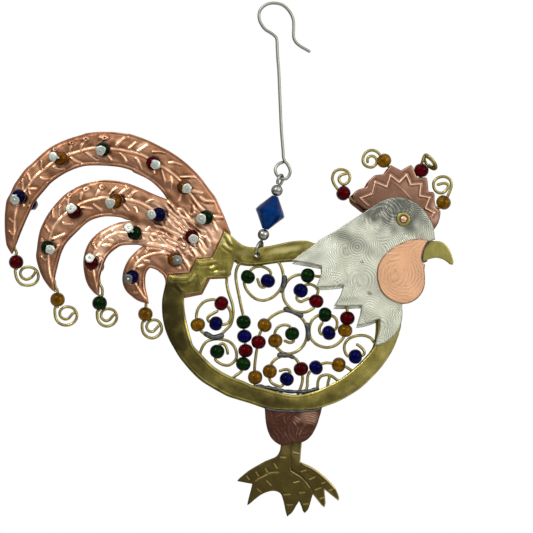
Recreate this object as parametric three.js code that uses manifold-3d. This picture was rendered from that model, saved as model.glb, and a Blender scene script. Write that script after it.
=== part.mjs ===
// Rooster ornament of sheet metal, scrolled wire and glass beads, hung from a wire hook.
// Millimetres, Z up. The origin is the inside top of the hook's bend, +X is the way that the rooster
// faces, and -Y is its front. Every sheet comes twice, one in front of the wires and one behind them.
import * as THREE from "three";
import { mergeVertices } from "three/addons/utils/BufferGeometryUtils.js";
import Module from "manifold-3d";

const wasm = await Module();
wasm.setup();

// Driving dimensions
const sheet = 0.5; // thickness of every sheet but the tail's
const tailSheet = 0.4; // the tail's thinner copper, which lets the rooster hang level
const scrollWire = 0.64; // diameter of the wire of the scrolls, the curls and the bead link
const hookWire = 0.81; // diameter of the hook's wire
const wireGap = 0.33; // free space between a wire and the sheets beside it
const looseFit = 0.3; // free space round a pin or a wire in its hole
const rivetFit = 0.15; // free space round the eye's rivet

// Glass beads
const beadDiameter = 3.9;
const beadLength = 3.6;
const beadEndDiameter = 2.2;
const beadBandLength = 1.6; // the full round part in the middle of a bead

// Tail pins
const pinWire = 0.8;
const pinHeadDiameter = 2.8;
const pinHeadThickness = 0.4;
const pinBeadStand = 3.4; // a bead's centre from the middle of the ornament
const pinHeadReach = 2.7; // from a bead's centre to the head, along the pin

// Eye
const washerDiameter = 3.9;
const rivetHeadDiameter = 2.2;
const rivetHeadHeight = 0.7;
const rivetShank = 1.1;

// Scrolled ends of the curls
const tailCurlRadius = 3.0;
const combCurlRadius = 2.9;
const curlEndRadius = 1.0;
const curlSteps = 8; // points in a turn
const curlStraight = 0.4; // the wire runs straight this far past its bead

// Hook
const hookRingRadius = 2.05;
const hookRingFrom = 50; // degrees, where the wire enters the ring
const hookRingTo = -255; // degrees, where its end stops short of the shaft
const hookRingStep = 30.5;

// Bead link
const linkLean = 17; // degrees from upright
const eyeTurn = 25; // degrees, how far the upper eye faces away from the ring's wire
const eyeFreeEnd = 48; // degrees round an eye, from the side of its stem to the wire's free end
const eyeClosed = 282; // degrees round an eye, where the wire runs into the stem
const eyeStep = 26;
const upperEyeRadius = 1.3;
const upperEyePlay = 0.27; // free space between the upper eye and the hook's ring
const lowerEyeHalfWidth = 2.3;
const lowerEyeHalfHeight = 1.95;
const lowerEyeDrop = 0.35; // the lower eye's wire below the middle of the hanging hole
const ballDiameter = 3.0;
const ballRings = [-60, -30, 0, 30, 60]; // degrees of latitude of the corners of a spacer ball
const crystalDiameter = 8.07;
const crystalLength = 8.95;
const crystalEndDiameter = 2.6;
const crystalBelt = 0.5; // the narrow band round the crystal's middle
const stackGap = 0.22; // free space between the threaded pieces
const hangingHole = 1.5;

// Solder
const solderRadius = 0.8;
const padRadius = 1.3;

// Where each layer of sheet starts, from the middle of the ornament outwards
const innerLayer = scrollWire / 2 + wireGap;
const ringLayer = innerLayer + sheet;
const tailLayer = ringLayer - tailSheet;
const headLayer = ringLayer + sheet;
const topLayer = headLayer + sheet;
const footLayer = innerLayer - sheet;

// How far the rear sheets slipped when they were soldered
const ringSlip = [-0.5, -0.5];
const combSlip = [-0.8, -0.8];
const headSlip = [0, -0.9];
const noSlip = [0, 0];

// Places on the drawing, as [x, z]
const ringCentre = [2.5, -45.0];
const hangPoint = [-4.4, -67.6];
const eyePoint = [35.0, -58.1];

// Outlines. Each row runs from a sharp corner to the first point of the next row, straight
// if it holds one point and as a smooth curve if it holds more.
const tailOutline = [
  [[-70.8, -67.5], [-72.1, -65.1], [-72.7, -61.0], [-72.7, -56.2], [-72.1, -52.9], [-70.2, -48.9],
    [-67.0, -44.5], [-63.1, -40.9], [-57.7, -37.3], [-52.3, -35.4], [-47.4, -34.3], [-41.5, -34.6],
    [-36.1, -35.9], [-30.7, -38.3], [-25.3, -41.6], [-19.9, -46.6], [-15.7, -52.1], [-13.1, -57.8]],
  [[-11.3, -62.6]],
  [[-11.5, -73.2]],
  [[-17.2, -74.3]],
  [[-19.4, -78.4]],
  [[-23.9, -79.4]],
  [[-26.4, -77.2]],
  [[-29.1, -76.1], [-29.3, -74.3], [-30.7, -72.5], [-33.4, -71.3], [-34.5, -72.7], [-34.7, -75.4],
    [-33.9, -79.7]],
  [[-34.0, -81.1], [-37.0, -79.9], [-39.7, -77.7], [-40.9, -74.7], [-40.5, -71.6], [-39.0, -68.7]],
  [[-35.4, -65.3], [-38.0, -65.0], [-41.5, -65.3], [-44.2, -67.2], [-46.1, -70.5], [-47.2, -75.7]],
  [[-47.5, -78.7], [-50.1, -76.1], [-51.4, -71.3], [-50.5, -65.5], [-46.9, -61.4], [-42.8, -59.3]],
  [[-38.4, -58.5], [-41.5, -57.6], [-45.8, -57.3], [-49.7, -58.4], [-53.1, -61.3], [-56.3, -64.8],
    [-58.1, -69.1], [-59.2, -73.7]],
  [[-59.0, -77.8], [-62.3, -74.1], [-64.2, -68.9], [-63.8, -64.7], [-62.5, -59.5], [-59.4, -54.5],
    [-55.0, -50.4], [-50.9, -48.5], [-47.4, -47.4], [-42.8, -47.5], [-37.4, -49.0], [-32.9, -51.0]],
  [[-28.8, -52.7], [-31.8, -49.0], [-36.1, -46.1], [-41.5, -44.0], [-47.4, -43.5], [-53.1, -44.1],
    [-58.5, -46.8], [-63.1, -51.4], [-65.9, -55.7], [-68.3, -61.1], [-70.0, -65.6]],
];
const ringOutline = [
  [[-28.3, -73.1]],
  [[-22.7, -72.6]],
  [[-20.9, -68.8]],
  [[-16.7, -68.4]],
  [[-15.0, -64.9]],
  [[-13.4, -61.2], [-10.0, -63.8], [-5.5, -65.6], [0.4, -65.0], [7.1, -63.9], [15.2, -64.0],
    [22.0, -66.2], [27.9, -70.7], [31.9, -76.4], [34.1, -81.5], [34.5, -86.4], [33.2, -91.1],
    [30.6, -96.0], [25.9, -101.5], [20.7, -105.5], [15.2, -108.1], [9.3, -109.5], [2.0, -109.5],
    [-2.8, -108.6], [-9.3, -106.5], [-15.0, -104.0], [-21.7, -99.0], [-26.4, -92.7], [-28.9, -87.5],
    [-29.8, -81.7], [-29.5, -77.7]],
];
const ringOpening = [
  [[-23.9, -78.4]],
  [[-19.5, -77.8]],
  [[-17.9, -73.8]],
  [[-11.9, -73.6]],
  [[-10.4, -68.9], [-5.5, -70.3], [1.7, -69.4], [7.1, -69.0], [13.9, -69.5], [20.6, -72.4],
    [25.5, -76.7], [28.4, -81.8], [28.8, -86.7], [27.5, -91.9], [24.9, -95.5], [20.4, -99.5],
    [15.5, -102.6], [10.3, -104.7], [4.9, -105.4], [-2.4, -103.7], [-10.4, -101.0], [-16.3, -97.7],
    [-21.7, -92.1], [-23.1, -87.6], [-24.1, -82.2]],
];
const headOutline = [
  [[4.9, -69.2], [12.5, -63.6], [20.6, -58.6], [28.7, -53.5], [31.4, -52.4], [34.1, -52.2],
    [37.6, -53.3], [41.4, -56.9], [43.1, -60.8]],
  [[43.6, -63.6]],
  [[41.0, -64.4], [39.4, -68.5], [37.3, -76.7]],
  [[34.6, -81.2], [34.7, -84.3], [32.9, -89.0], [30.1, -91.3]],
  [[27.3, -92.1], [28.4, -88.3]],
  [[28.6, -84.9], [26.2, -85.9]],
  [[22.4, -86.7], [23.4, -83.7]],
  [[23.7, -81.4]],
  [[16.2, -81.5], [17.9, -78.7]],
  [[18.8, -75.8]],
  [[11.4, -76.4], [12.5, -73.7]],
  [[12.8, -70.7], [9.8, -70.1]],
];
const wattleOutline = [
  [[41.7, -63.8], [38.5, -63.4], [35.1, -64.2], [31.4, -66.3], [28.9, -69.0], [27.9, -72.2],
    [28.2, -75.3], [29.7, -78.5], [32.6, -80.4], [35.8, -80.9], [38.9, -79.3], [40.5, -76.6],
    [40.8, -74.0], [40.6, -71.6]],
  [[40.9, -70.4], [39.8, -69.1], [40.0, -67.8], [40.6, -65.6]],
];
const beakOutline = [
  [[42.0, -64.0], [44.9, -64.0], [47.0, -65.6], [48.2, -68.3]],
  [[48.4, -70.4], [47.0, -69.5], [44.9, -68.6], [42.6, -68.7], [40.6, -69.4]],
  [[38.0, -71.0], [37.6, -67.5], [39.3, -65.0]],
];
const combOutline = [
  [[27.4, -56.7], [24.3, -55.1], [21.8, -53.2], [21.4, -51.5], [22.8, -50.1], [25.0, -49.3],
    [26.2, -47.1], [28.4, -46.0], [30.3, -45.2]],
  [[31.7, -43.4]],
  [[34.5, -44.8]],
  [[37.1, -43.4], [38.1, -45.0]],
  [[38.8, -46.8]],
  [[41.2, -46.8], [41.7, -48.8]],
  [[41.9, -50.5]],
  [[43.2, -50.8], [43.5, -53.2]],
  [[43.9, -54.8]],
  [[45.1, -55.9], [44.5, -59.0], [42.7, -61.3], [39.5, -63.2], [35.5, -62.6], [32.8, -59.7],
    [30.9, -57.7]],
];
const thighOutline = [
  [[-2.5, -108.0], [-2.2, -111.8], [-1.6, -115.1], [0.1, -118.0], [2.8, -119.2], [4.9, -118.3],
    [7.2, -118.5], [9.3, -117.5], [11.2, -114.9], [12.4, -111.6]],
  [[13.2, -108.0], [12.0, -106.9], [5.2, -107.5], [-1.0, -106.9]],
];
const leftFootOutline = [
  [[1.9, -115.0]],
  [[1.9, -119.3], [0.8, -122.2], [-2.1, -123.4], [-5.5, -125.3], [-8.4, -127.4]],
  [[-9.8, -128.8], [-7.5, -129.3]],
  [[-5.8, -129.7], [-6.5, -132.6]],
  [[-7.2, -135.4], [-5.0, -133.8], [-2.6, -132.1], [-0.3, -131.5], [1.9, -132.4], [2.8, -135.1]],
  [[3.6, -138.5], [5.3, -136.6]],
  [[6.9, -134.3], [7.7, -136.4]],
  [[8.5, -137.5], [9.7, -135.6]],
  [[10.7, -132.0], [9.0, -129.1], [7.2, -127.3]],
  [[5.0, -125.8]],
  [[4.7, -115.0]],
];
const rightFootOutline = [
  [[7.7, -115.0], [7.5, -120.8]],
  [[7.2, -123.7], [9.7, -124.8], [13.5, -127.5], [16.4, -130.4], [17.8, -133.5]],
  [[17.6, -134.2], [15.7, -132.9]],
  [[13.8, -131.3], [14.1, -133.7]],
  [[13.7, -136.1], [11.6, -133.8], [8.7, -131.0], [6.6, -128.5]],
  [[5.2, -126.4]],
  [[4.9, -115.0]],
];

// Tail pins: the front bead's centre, and how far the pin leans between it and its head
const tailPins = [
  { bead: [-68.6, -52.0], lean: [-0.8, 0.55] },
  { bead: [-57.3, -41.8], lean: [-0.5, 0.15] },
  { bead: [-45.9, -39.3], lean: [-0.4, -0.1] },
  { bead: [-32.3, -43.0], lean: [0.4, -0.3] },
  { bead: [-24.0, -49.5], lean: [0.6, -0.3] },
  { bead: [-18.2, -57.6], lean: [-0.6, -0.1] },
  { bead: [-60.8, -65.7], lean: [0.4, -0.6] },
  { bead: [-53.6, -56.1], lean: [-0.35, 0.3] },
  { bead: [-42.5, -53.2], lean: [-1.2, -0.4] },
  { bead: [-30.9, -56.9], lean: [-1.3, 0.1] },
  { bead: [-22.0, -62.9], lean: [0.3, -0.6] },
  { bead: [-49.0, -69.8], lean: [-0.35, 0.35] },
  { bead: [-37.4, -61.8], lean: [-0.6, 0.5] },
  { bead: [-38.1, -73.6], lean: [-0.3, -0.15] },
  { bead: [-26.5, -69.0], lean: [0.6, -0.1] },
];

// Curls: the wire runs from its root between the sheets through the bead, along the bead's way in
// degrees, and into a scroll round its centre. A folded scroll is turned about its own first radius.
const tailCurls = [
  { root: [-70.6, -63.7], bead: [-69.7, -69.6], way: -85, centre: [-66.5, -73.1], from: 180, turns: 1.3 },
  { root: [-59.6, -74.0], bead: [-58.5, -79.8], way: -88, centre: [-56.1, -83.8], from: 180, turns: 1.3 },
  { root: [-48.0, -74.5], bead: [-47.1, -80.7], way: -92, centre: [-44.9, -84.4], from: 180, turns: 1.3 },
  { root: [-35.2, -77.5], bead: [-34.7, -83.7], way: -97, centre: [-32.6, -87.5], from: 180, turns: 1.3 },
];
const combCurls = [
  { root: [22.8, -53.2], bead: [18.9, -51.0], way: 145, centre: [18.4, -46.6], from: 225, turns: -1.2 },
  { root: [32.5, -45.3], bead: [29.9, -42.2], way: 127, centre: [25.7, -41.8], from: 45, turns: 1.3 },
  { root: [39.8, -48.3], bead: [40.0, -44.8], way: 88, centre: [42.5, -42.8], from: 135, turns: -1.3, fold: 65 },
  { root: [42.3, -54.6], bead: [46.0, -53.5], way: 54, centre: [45.7, -48.9], from: -30, turns: 1.2 },
];

// Scrolls inside the ring: the wire's points, and which of them are the middles of beads
const neckWire = {
  path: [[-12.9, -71.8], [-12.5, -76.1], [-11.1, -81.3], [-11.1, -84.9], [-12.9, -88.0], [-14.8, -89.6]],
  beads: [],
};
const backScroll = {
  path: [[-16.4, -90.0], [-18.3, -89.4], [-19.9, -88.5], [-20.5, -86.7], [-20.9, -84.0], [-19.8, -81.0],
    [-16.9, -79.9], [-14.2, -80.8], [-11.9, -82.9], [-12.1, -85.4], [-13.5, -86.4], [-15.5, -86.3],
    [-17.3, -85.8], [-17.8, -84.5], [-16.7, -83.4]],
  beads: [3, 7, 11],
};
const lowerBackScroll = {
  path: [[-20.2, -94.2], [-19.0, -92.1], [-16.7, -90.7], [-13.8, -90.6], [-11.3, -91.7], [-10.1, -94.5],
    [-11.3, -96.9], [-13.6, -97.5], [-15.2, -96.1], [-15.3, -93.9], [-14.8, -92.2], [-13.3, -92.0],
    [-12.5, -93.7]],
  beads: [9],
};
const beadedStrand = {
  path: [[-8.7, -68.2], [-10.2, -72.3], [-9.9, -76.3], [-8.8, -81.8], [-8.1, -85.9], [-7.9, -89.7],
    [-7.7, -93.5], [-8.2, -97.3], [-9.2, -99.8], [-11.0, -102.2]],
  beads: [4, 5, 6, 7],
};
const heartScroll = {
  path: [[-5.2, -103.7], [-5.0, -100.7], [-5.2, -97.7], [-4.8, -94.8], [-4.1, -91.4], [-3.6, -88.8],
    [-2.4, -86.7], [-0.7, -84.6], [2.0, -83.1], [5.4, -83.3], [7.9, -85.1], [9.0, -88.3], [8.3, -91.8],
    [5.6, -94.1], [2.8, -94.3], [0.7, -92.8], [0.5, -91.0], [0.4, -88.6], [2.2, -86.8], [4.5, -87.2],
    [5.0, -89.0], [5.1, -90.9], [3.3, -91.2]],
  beads: [1, 4, 6, 16, 20],
};
const neckScroll = {
  path: [[0.8, -67.6], [2.1, -71.3], [2.6, -74.5], [1.0, -78.0], [-2.1, -79.9], [-5.5, -79.3],
    [-7.7, -76.5], [-7.0, -73.7], [-5.9, -71.4], [-3.4, -70.9], [-1.4, -72.1], [-1.6, -74.7],
    [-2.5, -76.4], [-4.0, -75.6]],
  beads: [7, 11],
};
const breastScroll = {
  path: [[17.0, -69.6], [14.6, -72.8], [11.4, -73.4], [9.2, -73.3], [5.9, -73.3], [3.6, -75.1],
    [2.6, -77.8], [3.6, -81.1], [6.3, -83.2], [9.3, -83.1], [11.1, -81.9], [11.5, -80.3], [12.0, -77.6],
    [10.5, -75.9], [8.3, -76.0], [7.3, -77.4], [6.4, -79.2], [7.5, -80.3], [9.3, -79.7]],
  beads: [3, 11, 15],
};
const wingScroll = {
  path: [[19.5, -79.2], [19.9, -82.0], [20.1, -84.6], [19.4, -88.4], [17.9, -91.3], [14.5, -92.8],
    [11.0, -91.5], [9.6, -88.3], [10.7, -85.1], [13.8, -83.9], [16.6, -84.6], [17.0, -87.1],
    [14.9, -88.8], [12.8, -89.0], [12.7, -86.7]],
  beads: [2, 3, 9, 12],
};
const bellyScroll = {
  path: [[7.3, -104.0], [7.8, -101.2], [7.4, -98.6], [6.4, -96.1], [3.9, -94.9], [0.9, -95.6],
    [-0.8, -97.3], [-1.0, -99.2], [-0.9, -101.7], [0.9, -103.1], [2.8, -102.7], [3.6, -101.3],
    [4.5, -99.6], [3.2, -98.7]],
  beads: [2, 7, 11],
};
const bellyWire = {
  path: [[9.5, -104.0], [9.2, -101.5], [9.8, -99.4], [11.5, -98.1], [14.5, -96.9], [17.6, -97.4],
    [19.8, -98.1], [22.4, -99.9]],
  beads: [3, 5],
};
const lowerArch = {
  path: [[11.8, -104.0], [12.2, -101.5], [14.2, -100.2], [16.0, -100.6], [18.2, -102.8]],
  beads: [],
};
const breastLoop = {
  path: [[29.0, -93.2], [26.7, -90.6], [23.6, -89.5], [20.5, -90.4], [19.1, -92.9], [19.9, -95.0],
    [22.0, -95.2], [24.3, -94.8], [24.5, -93.4], [22.9, -92.1]],
  beads: [6],
};

// Solder runs, from one end to the other
const backSolder = [[-17.6, -90.1], [-14.6, -89.9]];
const centreSolder = [
  [[3.1, -74.3], [2.3, -77.4]],
  [[4.4, -82.6], [7.4, -83.7]],
  [[9.2, -86.9], [9.4, -90.0]],
  [[2.2, -94.7], [5.1, -94.7]],
  [[-5.2, -103.6], [11.9, -104.0]],
];
const strandSolder = [
  [[-8.5, -67.7], [-9.2, -69.2]],
  [[-10.0, -101.4], [-11.3, -102.5]],
];
const loopSolder = [[29.3, -93.5], [28.2, -92.3]];
const wingPad = [[19.5, -79.0], [19.6, -79.4]];

// The hook's wire down to its ring, from the open end
const hookPath = [[9.6, -12.6], [7.3, -11.3], [5.6, -9.5], [5.3, -6.5], [5.0, -3.2], [3.2, -0.6],
  [0.0, 0.4], [-2.9, -0.6], [-4.0, -3.1], [-3.0, -5.8], [-0.3, -7.8], [0.9, -10.3], [1.3, -17.7],
  [2.1, -34.0], [2.6, -39.4], [2.65, -41.3]];

// Coarseness of the solids
const wireSides = 6;
const thinWireSides = 5;
const scrollStep = 2.3;
const curlStep = 1.15;
const hookStep = 1.7;
const linkStep = 0.9;
const roundSides = 7;
const holeSides = 12;
const crystalSides = 12;
const outlineStep = 2; // pieces of outline between two points of a smooth stretch

const steel = { color: 0x8a8c8a, roughness: 0.35, metalness: 1 };
const finishes = {
  steel,
  silver: { color: 0xb9bdb2, roughness: 0.4, metalness: 1 },
  copper: { color: 0x9c6a50, roughness: 0.42, metalness: 1 },
  darkCopper: { color: 0x64392c, roughness: 0.45, metalness: 1 },
  brass: { color: 0x8a7a3c, roughness: 0.38, metalness: 1 },
  oldBrass: { color: 0x5c4d22, roughness: 0.45, metalness: 1 },
  blueGlass: { color: 0x1230a8, roughness: 0.08, metalness: 0 },
  redGlass: { color: 0x5a0f10, roughness: 0.1, metalness: 0 },
  amberGlass: { color: 0x7d4a08, roughness: 0.1, metalness: 0 },
  greenGlass: { color: 0x0c3a1a, roughness: 0.1, metalness: 0 },
};

const radians = THREE.MathUtils.degToRad;
const upright = (x, z) => new THREE.Vector3(x, 0, z);

// Geometry helpers

function roundedPath(rows, slip = noSlip) {
  const points = [];
  rows.forEach((row, i) => {
    const next = rows[(i + 1) % rows.length][0];
    const stretch = [...row, next].map(([x, z]) => new THREE.Vector2(x + slip[0], z + slip[1]));
    if (row.length === 1) {
      points.push(stretch[0]);
      return;
    }
    const curve = new THREE.SplineCurve(stretch);
    points.push(...curve.getPoints(row.length * outlineStep).slice(0, -1));
  });
  return THREE.ShapeUtils.isClockWise(points) ? points.reverse() : points;
}

function circlePoints(diameter, sides, [x, z] = [0, 0]) {
  return Array.from({ length: sides }, (_, i) => {
    const angle = (i / sides) * 2 * Math.PI;
    return new THREE.Vector2(
      x + (diameter / 2) * Math.cos(angle),
      z + (diameter / 2) * Math.sin(angle),
    );
  });
}

function plate(rows, layer, side, { opening, holes = [], slip = noSlip, thickness = sheet } = {}) {
  const shape = new THREE.Shape(roundedPath(rows, slip));
  if (opening) shape.holes.push(new THREE.Path(roundedPath(opening, slip)));
  for (const { at, diameter } of holes) {
    shape.holes.push(new THREE.Path(circlePoints(diameter, holeSides, at)));
  }
  const geometry = new THREE.ExtrudeGeometry(shape, { depth: thickness, bevelEnabled: false });
  geometry.rotateX(Math.PI / 2);
  geometry.translate(0, side < 0 ? -layer : layer + thickness, 0);
  return geometry;
}

function wireAlong(points, diameter, stepLength, sides) {
  const curve = new THREE.CatmullRomCurve3(points);
  return new THREE.ExtrudeGeometry(new THREE.Shape(circlePoints(diameter, sides)), {
    extrudePath: curve,
    steps: Math.ceil(curve.getLength() / stepLength),
    bevelEnabled: false,
  });
}

function turned(profile, sides) {
  return new THREE.LatheGeometry(profile.map(([r, h]) => new THREE.Vector2(r, h)), sides);
}

// Puts a turned piece with its axis along a direction and its middle at a point.
function along(geometry, direction, at) {
  const turn = new THREE.Quaternion().setFromUnitVectors(new THREE.Vector3(0, 1, 0), direction);
  geometry.applyQuaternion(turn);
  geometry.translate(at.x, at.y, at.z);
  return geometry;
}

function beadProfile(at = 0) {
  return [
    [beadEndDiameter / 2, at - beadLength / 2],
    [beadDiameter / 2, at - beadBandLength / 2],
    [beadDiameter / 2, at + beadBandLength / 2],
    [beadEndDiameter / 2, at + beadLength / 2],
  ];
}

function solidBead() {
  return turned([[0, -beadLength / 2], ...beadProfile(), [0, beadLength / 2]], roundSides);
}

function boredPiece(profile, bore, sides) {
  const [first, last] = [profile[0], profile[profile.length - 1]];
  return turned([[bore / 2, first[1]], ...profile, [bore / 2, last[1]], [bore / 2, first[1]]], sides);
}

function solderRun([from, to], radius) {
  const [a, b] = [upright(...from), upright(...to)];
  const half = a.distanceTo(b) / 2;
  const shoulder = radius * Math.SQRT1_2;
  const run = turned(
    [[0, -half - radius], [shoulder, -half - shoulder], [radius, -half], [radius, half],
      [shoulder, half + shoulder], [0, half + radius]],
    wireSides,
  );
  return along(run, b.clone().sub(a).normalize(), a.clone().lerp(b, 0.5));
}

// Booleans

function solid(geometry) {
  const bare = geometry.index ? geometry.toNonIndexed() : geometry.clone();
  bare.deleteAttribute("normal");
  bare.deleteAttribute("uv");
  const merged = mergeVertices(bare, 1e-4);
  return new wasm.Manifold(
    new wasm.Mesh({
      numProp: 3,
      vertProperties: merged.attributes.position.array,
      triVerts: new Uint32Array(merged.index.array),
    }),
  );
}

function geometryOf(body) {
  const mesh = body.getMesh();
  const geometry = new THREE.BufferGeometry();
  geometry.setAttribute("position", new THREE.BufferAttribute(mesh.vertProperties, 3));
  geometry.setIndex(new THREE.BufferAttribute(mesh.triVerts, 1));
  geometry.computeVertexNormals();
  return geometry;
}

function joined(geometries) {
  return geometryOf(geometries.map(solid).reduce((sum, next) => sum.add(next)));
}

function drilled(geometry, tools) {
  return geometryOf(tools.map(solid).reduce((rest, tool) => rest.subtract(tool), solid(geometry)));
}

// The assembly

const ornament = new THREE.Group();
const rooster = new THREE.Group();
ornament.add(rooster);

function add(group, name, geometry, finish) {
  const mesh = new THREE.Mesh(geometry, new THREE.MeshStandardMaterial(finishes[finish]));
  mesh.name = name;
  group.add(mesh);
  return mesh;
}

// Hook

function hookGeometry() {
  const points = hookPath.map(([x, z]) => upright(x, z));
  for (let a = hookRingFrom; a >= hookRingTo; a -= hookRingStep) {
    points.push(
      upright(
        ringCentre[0] + hookRingRadius * Math.cos(radians(a)),
        ringCentre[1] + hookRingRadius * Math.sin(radians(a)),
      ),
    );
  }
  return wireAlong(points, hookWire, hookStep, wireSides);
}
add(ornament, "hanger_hook", hookGeometry(), "steel");

// Bead link. Its group stands at the hook's ring, with its own Z up along the leaning link.

const lean = radians(linkLean);
const linkTop = upright(
  ringCentre[0] - hookRingRadius * Math.sin(lean),
  ringCentre[1] - hookRingRadius * Math.cos(lean),
);
const link = new THREE.Group();
link.position.copy(linkTop);
link.rotation.y = lean;
ornament.add(link);

const upperEyeTop = (hookWire + scrollWire) / 2 + upperEyePlay;
const upperEyeMiddle = upperEyeTop - upperEyeRadius;
const stackTop = upperEyeMiddle - upperEyeRadius - scrollWire / 2 - stackGap;
const upperBallAt = stackTop - ballDiameter / 2;
const crystalAt = upperBallAt - ballDiameter / 2 - stackGap - crystalLength / 2;
const lowerBallAt = crystalAt - crystalLength / 2 - stackGap - ballDiameter / 2;
const lowerEyeTop = lowerBallAt - ballDiameter / 2 - stackGap - scrollWire / 2;
const lowerEyeMiddle = lowerEyeTop - lowerEyeHalfHeight;
const linkLength = lowerEyeHalfHeight - lowerEyeMiddle - lowerEyeDrop;

// Points of an eye from its free end round to the stem, in the plane of its own width.
function eyePoints(middle, halfWidth, halfHeight, turn, stemSide) {
  const points = [];
  for (let a = eyeFreeEnd; a <= eyeClosed; a += eyeStep) {
    const across = halfWidth * Math.sin(radians(a));
    points.push(
      new THREE.Vector3(
        across * Math.sin(turn),
        across * Math.cos(turn),
        middle + stemSide * halfHeight * Math.cos(radians(a)),
      ),
    );
  }
  return points;
}

function linkGeometry() {
  const upper = eyePoints(upperEyeMiddle, upperEyeRadius, upperEyeRadius, radians(eyeTurn), -1);
  const lower = eyePoints(lowerEyeMiddle, lowerEyeHalfWidth, lowerEyeHalfHeight, 0, 1);
  const stem = [stackTop, crystalAt, lowerEyeTop + scrollWire].map((z) => upright(0, z));
  return wireAlong([...upper, ...stem, ...lower.reverse()], scrollWire, linkStep, wireSides);
}
add(link, "bead_link", linkGeometry(), "steel");

const linkBore = scrollWire + 2 * looseFit;
const [upAxis, ballRadius] = [new THREE.Vector3(0, 0, 1), ballDiameter / 2];
const ballProfile = ballRings.map((a) => [
  ballRadius * Math.cos(radians(a)),
  ballRadius * Math.sin(radians(a)),
]);
const crystalProfile = [
  [crystalEndDiameter / 2, -crystalLength / 2],
  [crystalDiameter / 2, -crystalBelt / 2],
  [crystalDiameter / 2, crystalBelt / 2],
  [crystalEndDiameter / 2, crystalLength / 2],
];
const ball = () => boredPiece(ballProfile, linkBore, roundSides);
add(link, "upper_spacer_ball", along(ball(), upAxis, upright(0, upperBallAt)), "silver");
add(link, "crystal_bead",
  along(boredPiece(crystalProfile, linkBore, crystalSides), upAxis, upright(0, crystalAt)), "blueGlass");
add(link, "lower_spacer_ball", along(ball(), upAxis, upright(0, lowerBallAt)), "silver");

// The rooster hangs with its hole at the lower eye.
rooster.position.set(
  linkTop.x - linkLength * Math.sin(lean) - hangPoint[0],
  0,
  linkTop.z - linkLength * Math.cos(lean) - hangPoint[1],
);

// Tail pins, which pass through both tail sheets

function pinAxis({ lean: [dx, dz] }) {
  return new THREE.Vector3(dx, -Math.sqrt(pinHeadReach ** 2 - dx ** 2 - dz ** 2), dz).normalize();
}

function pinMiddle(pin) {
  const axis = pinAxis(pin);
  return new THREE.Vector3(pin.bead[0], -pinBeadStand, pin.bead[1]).addScaledVector(
    axis,
    pinBeadStand / axis.y,
  );
}

function pinGeometry(pin) {
  const axis = pinAxis(pin);
  const beadAt = -pinBeadStand / axis.y;
  const headAt = beadAt + pinHeadReach;
  const [wire, head] = [pinWire / 2, pinHeadDiameter / 2];
  const half = [
    [wire, beadAt - beadLength / 2],
    ...beadProfile(beadAt),
    [wire, beadAt + beadLength / 2],
    [wire, headAt - pinHeadThickness / 2],
    [head, headAt - pinHeadThickness / 2],
    [head, headAt + pinHeadThickness / 2],
    [0, headAt + pinHeadThickness / 2],
  ];
  const rear = half.map(([r, h]) => [r, -h]).reverse();
  return along(turned([...rear, ...half], roundSides), axis, pinMiddle(pin));
}

function pinHole(pin) {
  const bore = pinWire / 2 + looseFit;
  const reach = 2 * topLayer;
  const drill = turned([[0, -reach], [bore, -reach], [bore, reach], [0, reach]], roundSides);
  return along(drill, pinAxis(pin), pinMiddle(pin));
}

const pinColours = ["blue", "amber", "green", "red", "amber", "green", "green", "red", "amber", "blue",
  "red", "red", "green", "blue", "amber"];
tailPins.forEach((pin, i) => {
  const name = "tail_pin_" + String(i + 1).padStart(2, "0");
  add(rooster, name, pinGeometry(pin), pinColours[i] + "Glass");
});

// Sheets, front and rear

const tailSheets = (side) => plate(tailOutline, tailLayer, side, { thickness: tailSheet });

for (const [side, name, slipped] of [[-1, "front", 0], [1, "rear", 1]]) {
  const slip = ([x, z]) => [x * slipped, z * slipped];
  const rivetHole = { at: eyePoint, diameter: rivetShank + 2 * rivetFit };
  const sheets = {
    tail_plate: [drilled(tailSheets(side), tailPins.map(pinHole)), "copper"],
    body_ring: [
      plate(ringOutline, ringLayer, side, {
        opening: ringOpening,
        holes: [{ at: hangPoint, diameter: hangingHole }],
        slip: slip(ringSlip),
      }),
      "brass",
    ],
    head_plate: [
      plate(headOutline, headLayer, side, { holes: [rivetHole], slip: slip(headSlip) }), "silver",
    ],
    wattle: [plate(wattleOutline, topLayer, side), "copper"],
    beak: [plate(beakOutline, ringLayer, side), "brass"],
    comb: [plate(combOutline, innerLayer, side, { holes: [rivetHole], slip: slip(combSlip) }), "copper"],
    thigh: [plate(thighOutline, innerLayer, side), "darkCopper"],
  };
  for (const [piece, [geometry, finish]] of Object.entries(sheets))
    add(rooster, piece + "_" + name, geometry, finish);
  const washer = boredPiece(
    [[washerDiameter / 2, 0], [washerDiameter / 2, sheet]], rivetShank + 2 * rivetFit, 2 * roundSides,
  );
  const outward = new THREE.Vector3(0, side, 0);
  add(rooster, "eye_washer_" + name,
    along(washer, outward, new THREE.Vector3(eyePoint[0], side * topLayer, eyePoint[1])), "brass");
}
add(rooster, "left_foot", plate(leftFootOutline, footLayer, -1), "oldBrass");
add(rooster, "right_foot", plate(rightFootOutline, footLayer, 1), "oldBrass");

// Eye rivet, with a domed head on each washer

function rivetGeometry() {
  const seat = topLayer + sheet;
  const [shank, head] = [rivetShank / 2, rivetHeadDiameter / 2];
  const half = [
    [shank, seat],
    [head, seat],
    [head * Math.SQRT1_2, seat + rivetHeadHeight * Math.SQRT1_2],
    [0, seat + rivetHeadHeight],
  ];
  const rear = half.map(([r, h]) => [r, -h]).reverse();
  return along(turned([...rear, ...half], roundSides), new THREE.Vector3(0, 1, 0), upright(...eyePoint));
}
add(rooster, "eye_rivet", rivetGeometry(), "copper");

// Curls, each with one loose bead

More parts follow.
